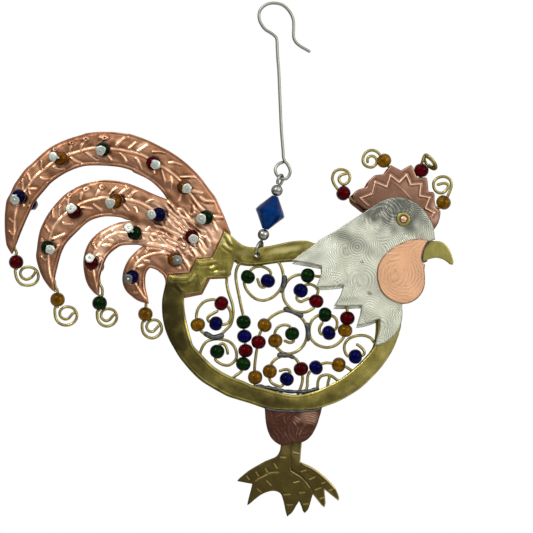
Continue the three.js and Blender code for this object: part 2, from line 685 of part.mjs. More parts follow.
function curlPoints({ root, bead, way, centre, from, turns, fold = 0 }, radius) {
  const run = upright(Math.cos(radians(way)), Math.sin(radians(way)));
  const middle = upright(...bead);
  const reach = beadLength / 2 + curlStraight;
  const points = [
    upright(...root),
    middle.clone().addScaledVector(run, -reach),
    middle.clone(),
    middle.clone().addScaledVector(run, reach),
  ];
  const first = upright(Math.cos(radians(from)), Math.sin(radians(from)));
  const steps = Math.round(Math.abs(turns) * curlSteps);
  for (let i = 0; i <= steps; i++) {
    const share = i / steps;
    const angle = radians(from) + share * turns * 2 * Math.PI;
    const r = THREE.MathUtils.lerp(radius, curlEndRadius, share);
    const spoke = upright(r * Math.cos(angle), r * Math.sin(angle));
    spoke.applyAxisAngle(first, radians(fold));
    points.push(spoke.add(upright(...centre)));
  }
  return points;
}

function addCurls(curls, name, radius, colours) {
  curls.forEach((curl, i) => {
    const wire = wireAlong(curlPoints(curl, radius), scrollWire, curlStep, thinWireSides);
    add(rooster, name + "_" + (i + 1), wire, "brass");
    const run = upright(Math.cos(radians(curl.way)), Math.sin(radians(curl.way)));
    const bead = boredPiece(beadProfile(), linkBore, roundSides);
    add(rooster, name + "_bead_" + (i + 1), along(bead, run, upright(...curl.bead)), colours[i] + "Glass");
  });
}
addCurls(tailCurls, "tail_curl", tailCurlRadius, ["red", "amber", "green", "amber"]);
addCurls(combCurls, "comb_curl", combCurlRadius, ["red", "amber", "red", "amber"]);

// Scrolls inside the ring, with the solder that joins them

function scrollParts({ path, beads }) {
  const points = path.map(([x, z]) => upright(x, z));
  const wire = wireAlong(points, scrollWire, scrollStep, thinWireSides);
  const threaded = beads.map((i) =>
    along(solidBead(), points[i + 1].clone().sub(points[i - 1]).normalize(), points[i]),
  );
  return [wire, ...threaded];
}

function addScrolls(name, scrolls, runs, pads = []) {
  const parts = [
    ...scrolls.flatMap(scrollParts),
    ...runs.map((run) => solderRun(run, solderRadius)),
    ...pads.map((pad) => solderRun(pad, padRadius)),
  ];
  add(rooster, name, joined(parts), "brass");
}
addScrolls("back_scrolls", [neckWire, backScroll, lowerBackScroll], [backSolder]);
addScrolls("beaded_strand", [beadedStrand], strandSolder);
addScrolls(
  "centre_scrolls",
  [heartScroll, neckScroll, breastScroll, wingScroll, bellyScroll, bellyWire, lowerArch],
  centreSolder,
  [wingPad],
);
addScrolls("breast_loop", [breastLoop], [loopSolder]);

export default ornament;
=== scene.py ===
"""Rooster ornament of layered sheet metal, scrolled wire and glass beads, dressed for the camera.

Shapes are drawn in the drawing's own units, x to the right and y down, with 0.27 mm to a unit. `Drawing`
turns them into metres in the frame, whose origin is the inside top of the hook's bend.
"""
import logging
import math
from dataclasses import dataclass, field
from enum import Enum

import bpy
import numpy as np
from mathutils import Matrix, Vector
from mathutils.geometry import delaunay_2d_cdt
from mathutils.kdtree import KDTree


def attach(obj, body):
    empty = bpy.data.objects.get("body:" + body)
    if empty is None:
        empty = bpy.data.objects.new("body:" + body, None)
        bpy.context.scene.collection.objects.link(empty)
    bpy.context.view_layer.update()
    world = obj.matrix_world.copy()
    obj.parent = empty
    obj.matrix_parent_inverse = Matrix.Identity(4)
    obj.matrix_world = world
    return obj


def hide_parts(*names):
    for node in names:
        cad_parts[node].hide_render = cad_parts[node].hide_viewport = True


log = logging.getLogger("rooster")
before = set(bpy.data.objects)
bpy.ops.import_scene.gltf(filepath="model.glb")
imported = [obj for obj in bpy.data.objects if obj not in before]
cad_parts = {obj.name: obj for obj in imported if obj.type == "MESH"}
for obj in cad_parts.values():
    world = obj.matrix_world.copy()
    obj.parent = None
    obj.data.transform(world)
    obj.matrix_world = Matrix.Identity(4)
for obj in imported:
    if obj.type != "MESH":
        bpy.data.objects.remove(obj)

MM = 0.001
UNIT_MM = 0.27
VIEWED_MM = (-1.944, -70.875)
VIEW_PLANE_MM = 1.4
VIEW_DISTANCE_MM = 500.0
Point = tuple[float, float]
Colour = tuple[float, float, float]
Patch = tuple[float, float, float, float, float, float]
Mesh = tuple[np.ndarray, list]


# Drawing.


@dataclass(frozen=True)
class Drawing:
    """The flat drawing that every sheet and wire is laid out on."""

    unit: float = UNIT_MM * MM
    origin: Point = (273.7, 4.0)
    hang_shift: Point = (-0.022 * MM, -0.041 * MM)
    plane: float = VIEW_PLANE_MM
    viewer: float = VIEW_DISTANCE_MM * MM
    eye_level: Point = (VIEWED_MM[0] * MM, VIEWED_MM[1] * MM)

    def place(self, points: np.ndarray, hung: bool = True) -> np.ndarray:
        """Turns drawing points into x and z in metres.

        Args:
            points: Rows of x and y on the drawing.
            hung: Whether they belong to the rooster, which hangs a hair off the drawing.

        Returns:
            Rows of x and z.
        """
        p = np.asarray(points, float)
        out = np.stack([(p[:, 0] - self.origin[0]) * self.unit, (self.origin[1] - p[:, 1]) * self.unit], 1)
        return out + self.hang_shift if hung else out

    def toward(self, points: np.ndarray, depth: float) -> np.ndarray:
        """Turns drawing points into the x and z of places that stand forward, as the viewer sees them.

        Args:
            points: Rows of x and y on the drawing.
            depth: How far they stand in front of the ornament's middle, in millimetres.

        Returns:
            Rows of x and z.
        """
        share = (depth - self.plane) * MM / self.viewer
        return self.place(points) * (1 - share) + np.array(self.eye_level) * share


DRAWING = Drawing()


def lifted(flat: np.ndarray, depth: np.ndarray | float) -> np.ndarray:
    """Gives rows of x and z in metres a depth, also in metres."""
    return np.stack([flat[:, 0], np.broadcast_to(depth, len(flat)), flat[:, 1]], 1)


def stroke(text: str) -> np.ndarray:
    """Reads "x,y x,y ..." as rows of drawing points."""
    return np.array([[float(v) for v in pair.split(",")] for pair in text.split()])


def smooth(points: np.ndarray, step: float, closed: bool = False) -> np.ndarray:
    """Runs a smooth curve through points of any dimension.

    Args:
        points: Rows of coordinates.
        step: Length between two points of the result, in the same unit.
        closed: Whether the curve returns to its start.

    Returns:
        Rows of points at even steps, with the first and last kept.
    """
    p = np.asarray(points, float)
    if len(p) < 3 and not closed:
        n = max(1, int(np.ceil(np.linalg.norm(p[1] - p[0]) / step)))
        return p[0] + (p[1] - p[0]) * np.linspace(0, 1, n + 1)[:, None]
    if closed:
        ring = np.vstack([p[-1], p, p[0], p[1]])
    else:
        ring = np.vstack([2 * p[0] - p[1], p, 2 * p[-1] - p[-2]])
    pieces = []
    for i in range(1, len(ring) - 2):
        a, b, c, d = ring[i - 1], ring[i], ring[i + 1], ring[i + 2]
        t0, t1 = 0.0, max(1e-9, np.linalg.norm(b - a)) ** 0.5
        t2 = t1 + max(1e-9, np.linalg.norm(c - b)) ** 0.5
        t3 = t2 + max(1e-9, np.linalg.norm(d - c)) ** 0.5
        t = np.linspace(t1, t2, 13)[:-1, None]
        ab = (t1 - t) / (t1 - t0) * a + (t - t0) / (t1 - t0) * b
        bc = (t2 - t) / (t2 - t1) * b + (t - t1) / (t2 - t1) * c
        cd = (t3 - t) / (t3 - t2) * c + (t - t2) / (t3 - t2) * d
        abc = (t2 - t) / (t2 - t0) * ab + (t - t0) / (t2 - t0) * bc
        bcd = (t3 - t) / (t3 - t1) * bc + (t - t1) / (t3 - t1) * cd
        pieces.append((t2 - t) / (t2 - t1) * abc + (t - t1) / (t2 - t1) * bcd)
    dense = np.vstack(pieces + [ring[-2][None, :]])
    lengths = np.concatenate([[0], np.cumsum(np.linalg.norm(np.diff(dense, axis=0), axis=1))])
    n = max(2, int(round(lengths[-1] / step)))
    at = np.linspace(0, lengths[-1], n + 1)
    return np.stack([np.interp(at, lengths, dense[:, k]) for k in range(p.shape[1])], 1)


def outline_of(strokes: tuple[str, ...], step: float = 1.2) -> np.ndarray:
    """Joins strokes into one closed outline.

    Args:
        strokes: Each runs from a sharp corner to the first point of the next, as a smooth curve.
        step: Length between two points of the result, in drawing units.

    Returns:
        Rows of drawing points, without the first repeated at the end.
    """
    rows = [stroke(s) for s in strokes]
    parts = []
    for i, row in enumerate(rows):
        joined = np.vstack([row, rows[(i + 1) % len(rows)][0]])
        parts.append(smooth(joined, step)[:-1])
    return np.vstack(parts)


def inside(points: np.ndarray, polygon: np.ndarray) -> np.ndarray:
    """Tells which points lie inside a closed polygon."""
    x, y = points[:, 0], points[:, 1]
    result = np.zeros(len(points), bool)
    for (x1, y1), (x2, y2) in zip(polygon, np.roll(polygon, -1, 0)):
        crosses = (y1 > y) != (y2 > y)
        with np.errstate(divide="ignore", invalid="ignore"):
            result ^= crosses & (x < (x2 - x1) * (y - y1) / (y2 - y1) + x1)
    return result


def distance(points: np.ndarray, line: np.ndarray, closed: bool = False) -> tuple[np.ndarray, np.ndarray]:
    """Measures how far points are from a line of points.

    Args:
        points: Rows of x and y.
        line: Rows of x and y along the line.
        closed: Whether the line returns to its start.

    Returns:
        The distances, and how far along the line each nearest place is, from 0 to 1.
    """
    corners = np.vstack([line, line[:1]]) if closed else line
    counts = np.maximum(1, np.ceil(np.linalg.norm(np.diff(corners, axis=0), axis=1))).astype(int)
    runs = [a + (b - a) * np.arange(n)[:, None] / n for a, b, n in zip(corners, corners[1:], counts)]
    dense = np.vstack([*runs, corners[-1:]])
    lengths = np.concatenate([[0], np.cumsum(np.linalg.norm(np.diff(dense, axis=0), axis=1))])
    tree = KDTree(len(dense))
    for i, (x, y) in enumerate(dense):
        tree.insert((x, y, 0.0), i)
    tree.balance()
    nearest = np.array([tree.find((x, y, 0.0))[1] for x, y in points], int)
    best = np.full(len(points), np.inf)
    share = np.zeros(len(points))
    for back in (1, 0):
        at = nearest - back
        at = at % (len(dense) - 1) if closed else np.clip(at, 0, len(dense) - 2)
        start, way = dense[at], dense[at + 1] - dense[at]
        size = np.maximum((way**2).sum(1), 1e-12)
        along = np.clip(((points - start) * way).sum(1) / size, 0, 1)
        d = np.linalg.norm(points - start - along[:, None] * way, axis=1)
        nearer = d < best
        best = np.where(nearer, d, best)
        share = np.where(nearer, lengths[at] + along * np.sqrt(size), share)
    return best, share / max(lengths[-1], 1e-12)


def from_edges(points: np.ndarray, loops: list[np.ndarray]) -> np.ndarray:
    """Measures how far points are from the nearest of several closed lines."""
    return np.min([distance(points, loop, closed=True)[0] for loop in loops], axis=0)


def spaced(rows: list[np.ndarray], gap: float, kept: int) -> np.ndarray:
    """Leaves out points that stand too close to one before them.

    Args:
        rows: Groups of points, the more important ones first.
        gap: The smallest distance.
        kept: Number of groups at the start that stay whole.

    Returns:
        The points that stay.
    """
    cells: dict[tuple[int, int], list[tuple[float, float]]] = {}
    result = []
    for k, group in enumerate(rows):
        for x, y in group:
            i, j = int(x // gap), int(y // gap)
            close = k >= kept and any(
                (x - u) ** 2 + (y - v) ** 2 < gap * gap
                for a in (i - 1, i, i + 1) for b in (j - 1, j, j + 1) for u, v in cells.get((a, b), ())
            )
            if not close:
                cells.setdefault((i, j), []).append((x, y))
                result.append((x, y))
    return np.array(result)


def ease(value: np.ndarray) -> np.ndarray:
    """Eases values from 0 to 1, level at both ends."""
    v = np.clip(value, 0, 1)
    return v * v * (3 - 2 * v)


def waves(points: np.ndarray, length: float, seed: int, count: int = 28) -> np.ndarray:
    """Gives smooth random heights of about -1 to 1.

    Args:
        points: Rows of coordinates of any dimension.
        length: Typical wave length in the points' unit.
        seed: Picks the pattern.
        count: Number of waves added up.

    Returns:
        One height for each point.
    """
    rng = np.random.default_rng(seed)
    total = np.zeros(len(points))
    for _ in range(count):
        way = rng.normal(size=points.shape[1])
        way *= rng.uniform(0.6, 1.6) / np.linalg.norm(way)
        total += np.sin(points @ way * 2 * math.pi / length + rng.uniform(0, 2 * math.pi))
    return total / math.sqrt(count)


# Finishes.


class Nodes:
    """Short ways to lay out a node tree."""

    def __init__(self, tree: bpy.types.NodeTree) -> None:
        """Starts on an empty tree."""
        self.tree = tree
        self.column = 0

    def add(self, kind: str, settings: dict | None = None, **inputs: object) -> bpy.types.Node:
        """Adds a node.

        Args:
            kind: Blender's name of the node type, without ShaderNode.
            settings: Properties to set on the node.
            **inputs: Values or sockets for inputs, named with underscores for spaces.

        Returns:
            The node.
        """
        name = kind if kind.startswith("Node") else "ShaderNode" + kind
        node = self.tree.nodes.new(name)
        node.location = (self.column * 190, 0)
        self.column += 1
        for key, value in (settings or {}).items():
            setattr(node, key, value)
        for key, value in inputs.items():
            self.feed(node, key.replace("_", " "), value)
        return node

    def feed(self, node: bpy.types.Node, name: str, value: object) -> None:
        """Sets an input by its name, or by its number where the name is a number, to a value or a socket."""
        socket = node.inputs[int(name.strip("i"))] if name.strip("i").isdigit() else node.inputs[name]
        if isinstance(value, bpy.types.NodeSocket):
            self.tree.links.new(value, socket)
        elif isinstance(value, (tuple, list)) and socket.type == "RGBA" and len(value) == 3:
            socket.default_value = (*value, 1.0)
        else:
            socket.default_value = value

    def maths(self, operation: str, a: object, b: object = 0.0) -> bpy.types.NodeSocket:
        """Adds a Math node and returns its result."""
        return self.add("Math", {"operation": operation}, i0=a, i1=b).outputs[0]

    def noise(self, place: object, **looks: object) -> bpy.types.NodeSocket:
        """Adds a noise texture and returns its value."""
        return self.add("TexNoise", Vector=place, **looks).outputs[0]

    def times(self, a: object, b: object) -> bpy.types.NodeSocket:
        """Multiplies two values."""
        return self.maths("MULTIPLY", a, b)

    def plus(self, a: object, b: object) -> bpy.types.NodeSocket:
        """Adds two values."""
        return self.maths("ADD", a, b)

    def mix(self, factor: object, a: object, b: object, blend: str = "MIX") -> bpy.types.NodeSocket:
        """Mixes two colours and returns the result."""
        node = self.add("Mix", {"data_type": "RGBA", "blend_type": blend})
        for index, value in ((0, factor), (6, a), (7, b)):
            self.feed(node, str(index), value)
        return node.outputs[2]

    def ramp(self, factor: object, low: object, high: object, to_low: float = 0.0,
             to_high: float = 1.0) -> bpy.types.NodeSocket:
        """Maps a range to another, smoothly, and returns the result."""
        node = self.add("MapRange", {"interpolation_type": "SMOOTHSTEP"}, i0=factor, i1=low, i2=high,
                        i3=to_low, i4=to_high)
        return node.outputs[0]


GroupParts = tuple[bpy.types.NodeTree, Nodes, bpy.types.bpy_prop_collection, bpy.types.Node]


def new_group(name: str, inputs: dict[str, object], outputs: dict[str, str]) -> GroupParts:
    """Starts a shader node group.

    Args:
        name: The group's name.
        inputs: Input names with their values, a number or a colour.
        outputs: Output names with their kinds, Float or Color.

    Returns:
        The group, its layout helper, the sockets that give its inputs, and its output node.
    """
    group = bpy.data.node_groups.new(name, "ShaderNodeTree")
    for key, value in inputs.items():
        kind = "NodeSocketColor" if isinstance(value, tuple) else "NodeSocketFloat"
        socket = group.interface.new_socket(key, in_out="INPUT", socket_type=kind)
        socket.default_value = (*value, 1.0) if isinstance(value, tuple) else value
    for key, kind in outputs.items():
        group.interface.new_socket(key, in_out="OUTPUT", socket_type="NodeSocket" + kind)
    nodes = Nodes(group)
    return group, nodes, nodes.add("NodeGroupInput").outputs, nodes.add("NodeGroupOutput")


def new_material(name: str) -> tuple[bpy.types.Material, Nodes]:
    """Starts a material on an empty tree."""
    made = bpy.data.materials.new(name)
    made.use_nodes = True
    made.node_tree.nodes.clear()
    return made, Nodes(made.node_tree)


def drawing_millimetres(nodes: Nodes) -> bpy.types.NodeSocket:
    """Gives the place on the object in millimetres."""
    place = nodes.add("TexCoord").outputs["Object"]
    return nodes.add("VectorMath", {"operation": "SCALE"}, i0=place, Scale=1000.0).outputs[0]


class EffectGroups:
    """The effects that several finishes share, each one a node group."""

    def __init__(self) -> None:
        """Builds each group once."""
        self.patina = self._patina()
        self.swirls = self._swirls()
        self.hammering = self._hammering()
        self.depths = self._depths()

    def _patina(self) -> bpy.types.NodeTree:
        """Cloudy tarnish over a clean metal, with fine speckles."""
        group, n, given, end = new_group(
            "patina",
            {"Clean": (0.8, 0.6, 0.4), "Tarnish": (0.3, 0.2, 0.1), "Cloud mm": 6.0, "Amount": 0.5,
             "Speckle": 0.2, "Clean roughness": 0.3, "Tarnish roughness": 0.5},
            {"Colour": "Color", "Roughness": "Float", "Mask": "Float"},
        )
        place = drawing_millimetres(n)
        size = n.maths("DIVIDE", 1.0, given["Cloud mm"])
        cloud = n.noise(place, Scale=size, Detail=6.0, Roughness=0.62, Distortion=0.4)
        edge = n.maths("SUBTRACT", 0.95, given["Amount"])
        mask = n.ramp(cloud, n.maths("SUBTRACT", edge, 0.22), n.plus(edge, 0.18))
        speckle = n.noise(place, Scale=3.2, Detail=3.0, Roughness=0.7)
        dots = n.times(n.ramp(speckle, 0.52, 0.72), given["Speckle"])
        both = n.maths("MAXIMUM", mask, dots)
        colour = n.mix(both, given["Clean"], given["Tarnish"])
        rough = n.add("MapRange", i0=both, i3=given["Clean roughness"], i4=given["Tarnish roughness"])
        n.feed(end, "Colour", colour)
        n.feed(end, "Roughness", rough.outputs[0])
        n.feed(end, "Mask", both)
        return group

    def _swirls(self) -> bpy.types.NodeTree:
        """Arcs of fine scratches round many centres, as a spinning brush leaves them."""
        group, n, given, end = new_group(
            "swirl scratches", {"Centres mm": 6.0, "Rings per mm": 2.4, "Cover": 0.5, "Target x": 0.0,
                                "Target z": 0.0},
            {"Height": "Float", "Lines": "Float"},
        )
        place = drawing_millimetres(n)
        flat = n.add("VectorMath", {"operation": "MULTIPLY"}, i0=place, i1=(1.0, 0.0, 1.0)).outputs[0]
        total = None
        for k, turn in enumerate((0.0, 2.7, 5.3)):
            moved = n.add("Mapping", Vector=flat, Location=(3.1 * k, 0.0, 7.7 * k),
                          Rotation=(0.0, turn, 0.0)).outputs[0]
            cells = n.add("TexVoronoi", {"feature": "F1", "voronoi_dimensions": "3D"}, Vector=moved,
                          Scale=n.maths("DIVIDE", 1.0, given["Centres mm"]), Randomness=1.0)
            radius = n.times(cells.outputs["Distance"], given["Centres mm"])
            wobble = n.noise(flat, Scale=0.35 + 0.1 * k, Detail=1.0)
            wavy = n.plus(radius, n.times(wobble, 0.14))
            phase = n.times(wavy, given["Rings per mm"])
            rings = n.maths("SINE", n.times(phase, 2 * math.pi * (1.0 + 0.17 * k)))
            rings = n.times(rings, n.times(rings, rings))
            patch = n.noise(moved, Scale=0.21, Detail=2.5, Roughness=0.6)
            mask = n.ramp(patch, n.maths("SUBTRACT", 0.60, n.times(given["Cover"], 0.2)), 0.62)
            part = n.times(rings, mask)
            total = part if total is None else n.plus(total, part)
        middle = n.add("CombineXYZ", X=given["Target x"], Z=given["Target z"]).outputs[0]
        away = n.add("VectorMath", {"operation": "DISTANCE"}, i0=flat, i1=middle).outputs["Value"]
        near = n.ramp(away, 4.6, 1.0)
        rings = n.maths("SINE", n.times(n.times(away, given["Rings per mm"]), 5.0))
        total = n.add("Mix", {"data_type": "FLOAT"}, i0=near, i2=total, i3=n.times(rings, 0.9)).outputs[0]
        n.feed(end, "Height", total)
        n.feed(end, "Lines", n.ramp(total, -1.0, 1.0, -1.0, 1.0))
        return group

    def _hammering(self) -> bpy.types.NodeTree:
        """Shallow dents and fine straight scratches."""
        group, n, given, end = new_group(
            "hammering", {"Dent mm": 3.0, "Dents": 1.0, "Scratches": 0.3}, {"Height": "Float"},
        )
        place = drawing_millimetres(n)
        dents = n.noise(place, Scale=n.maths("DIVIDE", 1.0, given["Dent mm"]), Detail=2.5, Roughness=0.45)
        long = n.add("Mapping", Vector=place, Rotation=(0.0, 0.6, 0.0), Scale=(0.25, 1.0, 7.0)).outputs[0]
        lines = n.noise(long, Scale=1.3, Detail=4.0, Roughness=0.7)
        grain = n.noise(place, Scale=7.0, Detail=3.0, Roughness=0.6)
        fine = n.plus(n.times(lines, 0.6), n.times(grain, 0.4))
        height = n.plus(n.times(dents, given["Dents"]), n.times(fine, given["Scratches"]))
        n.feed(end, "Height", height)
        return group

    def _depths(self) -> bpy.types.NodeTree:
        """Brightens the ridges, partly rubbed polish and partly painted highlight, and darkens the hollows
        and outer edges, partly grime and partly painted shade, with patches of painted shade on top.
        """
        group, n, given, end = new_group(
            "worn ridges and painted light", {"Colour": (0.5, 0.4, 0.3), "Bright": (0.9, 0.7, 0.5), "Dark": (0.1, 0.06, 0.04),
                            "Shine": 0.7, "Grime": 0.6, "Roughness": 0.4},
            {"Colour": "Color", "Roughness": "Float"},
        )
        relief = n.add("Attribute", {"attribute_name": "relief"}).outputs["Fac"]
        # Raised relief turns the colour towards Bright, partly rubbed polish and partly painted highlight;
        # low relief turns it towards Dark, partly grime and partly painted shade.
        ridge = n.times(n.ramp(relief, 0.52, 0.85), given["Shine"])
        hollow = n.times(n.ramp(relief, 0.48, 0.12), given["Grime"])
        # Patches of painted shade darken the colour towards Dark.
        painted_shade = n.add("Attribute", {"attribute_name": "painted_shade"}).outputs["Fac"]
        rubbed_and_lit = n.mix(ridge, given["Colour"], given["Bright"])
        shaded = n.mix(n.times(painted_shade, 0.95), rubbed_and_lit, given["Dark"])
        n.feed(end, "Colour", n.mix(hollow, shaded, given["Dark"]))
        n.feed(end, "Roughness", n.plus(given["Roughness"], n.times(hollow, 0.15)))
        return group


@dataclass(frozen=True)
class Metal:
    """A sheet or wire metal.

    Sizes are in millimetres and colours are linear. `bright` is the colour of rubbed ridges and of painted
    highlight, and `dark` that of grime and of painted shade.
    """

    name: str
    clean: Colour
    tarnish: Colour
    bright: Colour
    dark: Colour
    cloud: float = 6.0
    amount: float = 0.45
    speckle: float = 0.2
    rough: float = 0.3
    rough_tarnish: float = 0.5
    # How far raised relief turns the colour bright, partly rubbed polish and partly painted highlight.
    shine: float = 0.6
    # How far low relief turns the colour dark, partly grime and partly painted shade.
    grime: float = 0.5
    dent: float = 3.0
    dent_depth: float = 0.5
    scratch: float = 0.4
    swirl: float = 0.0
    swirl_centres: float = 6.0
    swirl_rings: float = 2.2
    swirl_tone: float = 0.0
    target: Point = (0.0, 0.0)
    bump: float = 0.05
    # How far the colour darkens at a grazing angle, a painted shade.
    rim: float = 0.8

    def material(self, groups: EffectGroups) -> bpy.types.Material:
        """Builds the metal's material from the shared effects."""
        made, n = new_material(self.name)
        patina = n.add("Group", {"node_tree": groups.patina}, Clean=self.clean, Tarnish=self.tarnish,
                       Cloud_mm=self.cloud, Amount=self.amount, Speckle=self.speckle,
                       Clean_roughness=self.rough, Tarnish_roughness=self.rough_tarnish)
        depths = n.add("Group", {"node_tree": groups.depths}, Colour=patina.outputs["Colour"],
                       Bright=self.bright, Dark=self.dark, Shine=self.shine, Grime=self.grime,
                       Roughness=patina.outputs["Roughness"])
        colour = depths.outputs["Colour"]
        dents = n.add("Group", {"node_tree": groups.hammering}, Dent_mm=self.dent, Dents=self.dent_depth,
                      Scratches=self.scratch)
        height = dents.outputs["Height"]
        if self.swirl:
            swirls = n.add("Group", {"node_tree": groups.swirls}, Centres_mm=self.swirl_centres,
                           Rings_per_mm=self.swirl_rings, Cover=0.75, Target_x=self.target[0],
                           Target_z=self.target[1])
            height = n.plus(height, n.times(swirls.outputs["Height"], self.swirl))
            tone = n.times(swirls.outputs["Lines"], self.swirl_tone)
            colour = n.mix(n.maths("MAXIMUM", tone, 0.0), colour, self.bright)
            colour = n.mix(n.maths("MAXIMUM", n.times(tone, -1.0), 0.0), colour, self.dark)
        bump = n.add("Bump", Height=height, Strength=1.0, Distance=self.bump * MM)
        # Painted shade: the colour darkens towards dark where the surface turns away from the view.
        facing = n.add("LayerWeight", Blend=0.5).outputs["Facing"]
        colour = n.mix(n.times(n.ramp(facing, 0.3, 0.8), self.rim), colour, self.dark)
        shader = n.add("BsdfPrincipled", Base_Color=colour, Roughness=depths.outputs["Roughness"],
                       Metallic=1.0, Specular_Tint=tuple(0.5 * part for part in self.clean),
                       Normal=bump.outputs[0])
        n.add("OutputMaterial", Surface=shader.outputs[0])
        return made


@dataclass(frozen=True)
class Glass:
    """Clear coloured glass with a little cloud in it."""

    name: str
    deep: Colour
    light: Colour
    glint: Colour
    transmission: float = 0.3
    rough: float = 0.08
    index: float = 1.45
    mirror: float = 0.14
    # How far the colour darkens at a grazing angle, a painted shade.
    rim: float = 0.9

    def material(self, groups: EffectGroups) -> bpy.types.Material:
        """Builds the glass, whose streaks come from the shared patina."""
        made, n = new_material(self.name)
        cloud = n.add("Group", {"node_tree": groups.patina}, Clean=self.light, Tarnish=self.deep,
                      Cloud_mm=2.6, Amount=0.5, Speckle=0.0, Clean_roughness=self.rough,
                      Tarnish_roughness=self.rough + 0.08)
        # Painted shade: the glass darkens towards its deep colour where its surface turns away from the view.
        facing = n.add("LayerWeight", Blend=0.45).outputs["Facing"]
        shade = n.times(n.ramp(facing, 0.12, 0.75), self.rim)
        colour = n.mix(shade, cloud.outputs["Colour"], tuple(part * 0.12 for part in self.deep))
        shader = n.add("BsdfPrincipled", Base_Color=colour, Roughness=cloud.outputs["Roughness"],
                       IOR=self.index, Transmission_Weight=self.transmission, Specular_IOR_Level=self.mirror,
                       Specular_Tint=self.glint)
        n.add("OutputMaterial", Surface=shader.outputs[0])
        return made


# Meshes.

EDGE_ROWS = (0.3, 0.8, 1.6, 2.8, 4.2)
EDGE_CLEARANCE = 0.26
POINT_GAP = 0.36
LARGE_HOLE = 12
CRINKLE_TURN = math.radians(42)
SEAT_FLAT = 2.6
SEAT_FADE = 3.5


class Side(Enum):
    """The face of the ornament that a sheet belongs to."""

    FRONT = -1
    REAR = 1

    @property
    def label(self) -> str:
        """The word that node names end in."""
        return "front" if self is Side.FRONT else "rear"


def mesh_object(name: str, points: np.ndarray, faces: list, material: bpy.types.Material,
                relief: np.ndarray | None = None, painted_shade: np.ndarray | None = None,
                flat: bool = False) -> bpy.types.Object:
    """Makes a mesh object at the frame's origin.

    Args:
        name: The piece's name.
        points: Rows of x, y and z in metres.
        faces: Lists of point numbers, seen anticlockwise from outside.
        material: What it is made of.
        relief: Each point's wear and painted light, from 0 for a hollow and painted shade to 1 for a ridge
            and painted highlight.
        painted_shade: How much painted shade darkens each point, from 0 to 1.
        flat: Whether its faces stay flat, as cut facets do.

    Returns:
        The object.
    """
    mesh = bpy.data.meshes.new(name)
    mesh.from_pydata([tuple(p) for p in points], [], faces)
    mesh.validate()
    mesh.update()
    mesh.materials.append(material)
    for word, values, plain in (("relief", relief, 0.5), ("painted_shade", painted_shade, 0.0)):
        values = np.full(len(points), plain) if values is None else values
        layer = mesh.attributes.new(word, "FLOAT", "POINT")
        layer.data.foreach_set("value", np.asarray(values[: len(mesh.vertices)], np.float32))
    mesh.polygons.foreach_set("use_smooth", [not flat] * len(mesh.polygons))
    piece = bpy.data.objects.new(name, mesh)
    bpy.context.scene.collection.objects.link(piece)
    return piece


def tube(path: np.ndarray, radius: np.ndarray | float, sides: int = 12) -> Mesh:
    """Sweeps a round section along a path, with rounded ends.

    Args:
        path: Rows of x, y and z in metres, close together.
        radius: One radius, or one for each row.
        sides: Number of sides.

    Returns:
        Points and faces.
    """
    radii = np.broadcast_to(np.asarray(radius, float), (len(path),)).copy()
    ways = np.gradient(path, axis=0)
    ways /= np.linalg.norm(ways, axis=1)[:, None]
    caps = 3
    lead, tail, lead_r, tail_r = [], [], [], []
    for k in range(caps):
        a = math.pi / 2 * k / caps
        lead.append(path[0] - ways[0] * radii[0] * math.cos(a))
        lead_r.append(max(radii[0] * math.sin(a), radii[0] * 0.06))
        tail.insert(0, path[-1] + ways[-1] * radii[-1] * math.cos(a))
        tail_r.insert(0, max(radii[-1] * math.sin(a), radii[-1] * 0.06))
    full = np.vstack([lead, path, tail])
    full_r = np.concatenate([lead_r, radii, tail_r])
    full_ways = np.vstack([[ways[0]] * caps, ways, [ways[-1]] * caps])
    normal = np.cross(full_ways[0], (0.0, 1.0, 0.0))
    if np.linalg.norm(normal) < 0.2:
        normal = np.cross(full_ways[0], (1.0, 0.0, 0.0))
    rows = []
    for at, way, r in zip(full, full_ways, full_r):
        normal = normal - way * (normal @ way)
        normal /= np.linalg.norm(normal)
        other = np.cross(way, normal)
        a = np.arange(sides) / sides * 2 * math.pi
        rows.append(at + r * (np.cos(a)[:, None] * normal + np.sin(a)[:, None] * other))
    points = np.vstack(rows)
    faces = [list(range(sides))[::-1]]
    for i in range(len(rows) - 1):
        for j in range(sides):
            k = (j + 1) % sides
            faces.append([i * sides + j, i * sides + k, (i + 1) * sides + k, (i + 1) * sides + j])
    faces.append([(len(rows) - 1) * sides + j for j in range(sides)])
    return points, faces


def lathe(profile: list[Point], centre: np.ndarray, axis: np.ndarray, sides: int = 32,
          closed: bool = True) -> Mesh:
    """Turns a profile about an axis.

    Args:
        profile: Rows of radius and height along the axis, in millimetres, anticlockwise round the section.
        centre: Where height 0 is, in metres.
        axis: Direction of the axis.
        sides: Number of sides.
        closed: Whether the profile runs round a bored piece's section, and not from axis to axis.

    Returns:
        Points and faces.
    """
    axis = np.asarray(axis, float) / np.linalg.norm(axis)
    aside = np.cross(axis, (0.0, 1.0, 0.0) if abs(axis[1]) < 0.9 else (1.0, 0.0, 0.0))
    aside /= np.linalg.norm(aside)
    other = np.cross(axis, aside)
    a = np.arange(sides) / sides * 2 * math.pi
    ring = np.cos(a)[:, None] * aside + np.sin(a)[:, None] * other
    points, rows = [], []
    for r, h in profile:
        if r == 0:
            rows.append([len(points)] * sides)
            points.append(centre + axis * (h * MM))
        else:
            rows.append(list(range(len(points), len(points) + sides)))
            points.extend(centre + axis * (h * MM) + (r * MM) * ring)
    faces = []
    spans = zip(rows, rows[1:] + rows[:1] if closed else rows[1:])
    for low, high in spans:
        for j in range(sides):
            k = (j + 1) % sides
            corner = [low[j], low[k], high[k], high[j]]
            face = [p for i, p in enumerate(corner) if p not in corner[:i]]
            if len(face) > 2:
                faces.append(face)
    return np.array(points), faces


def merged(parts: list[Mesh]) -> Mesh:
    """Puts several closed meshes into one."""
    points, faces, base = [], [], 0
    for p, f in parts:
        points.append(p)
        faces.extend([[i + base for i in face] for face in f])
        base += len(p)
    return np.vstack(points), faces


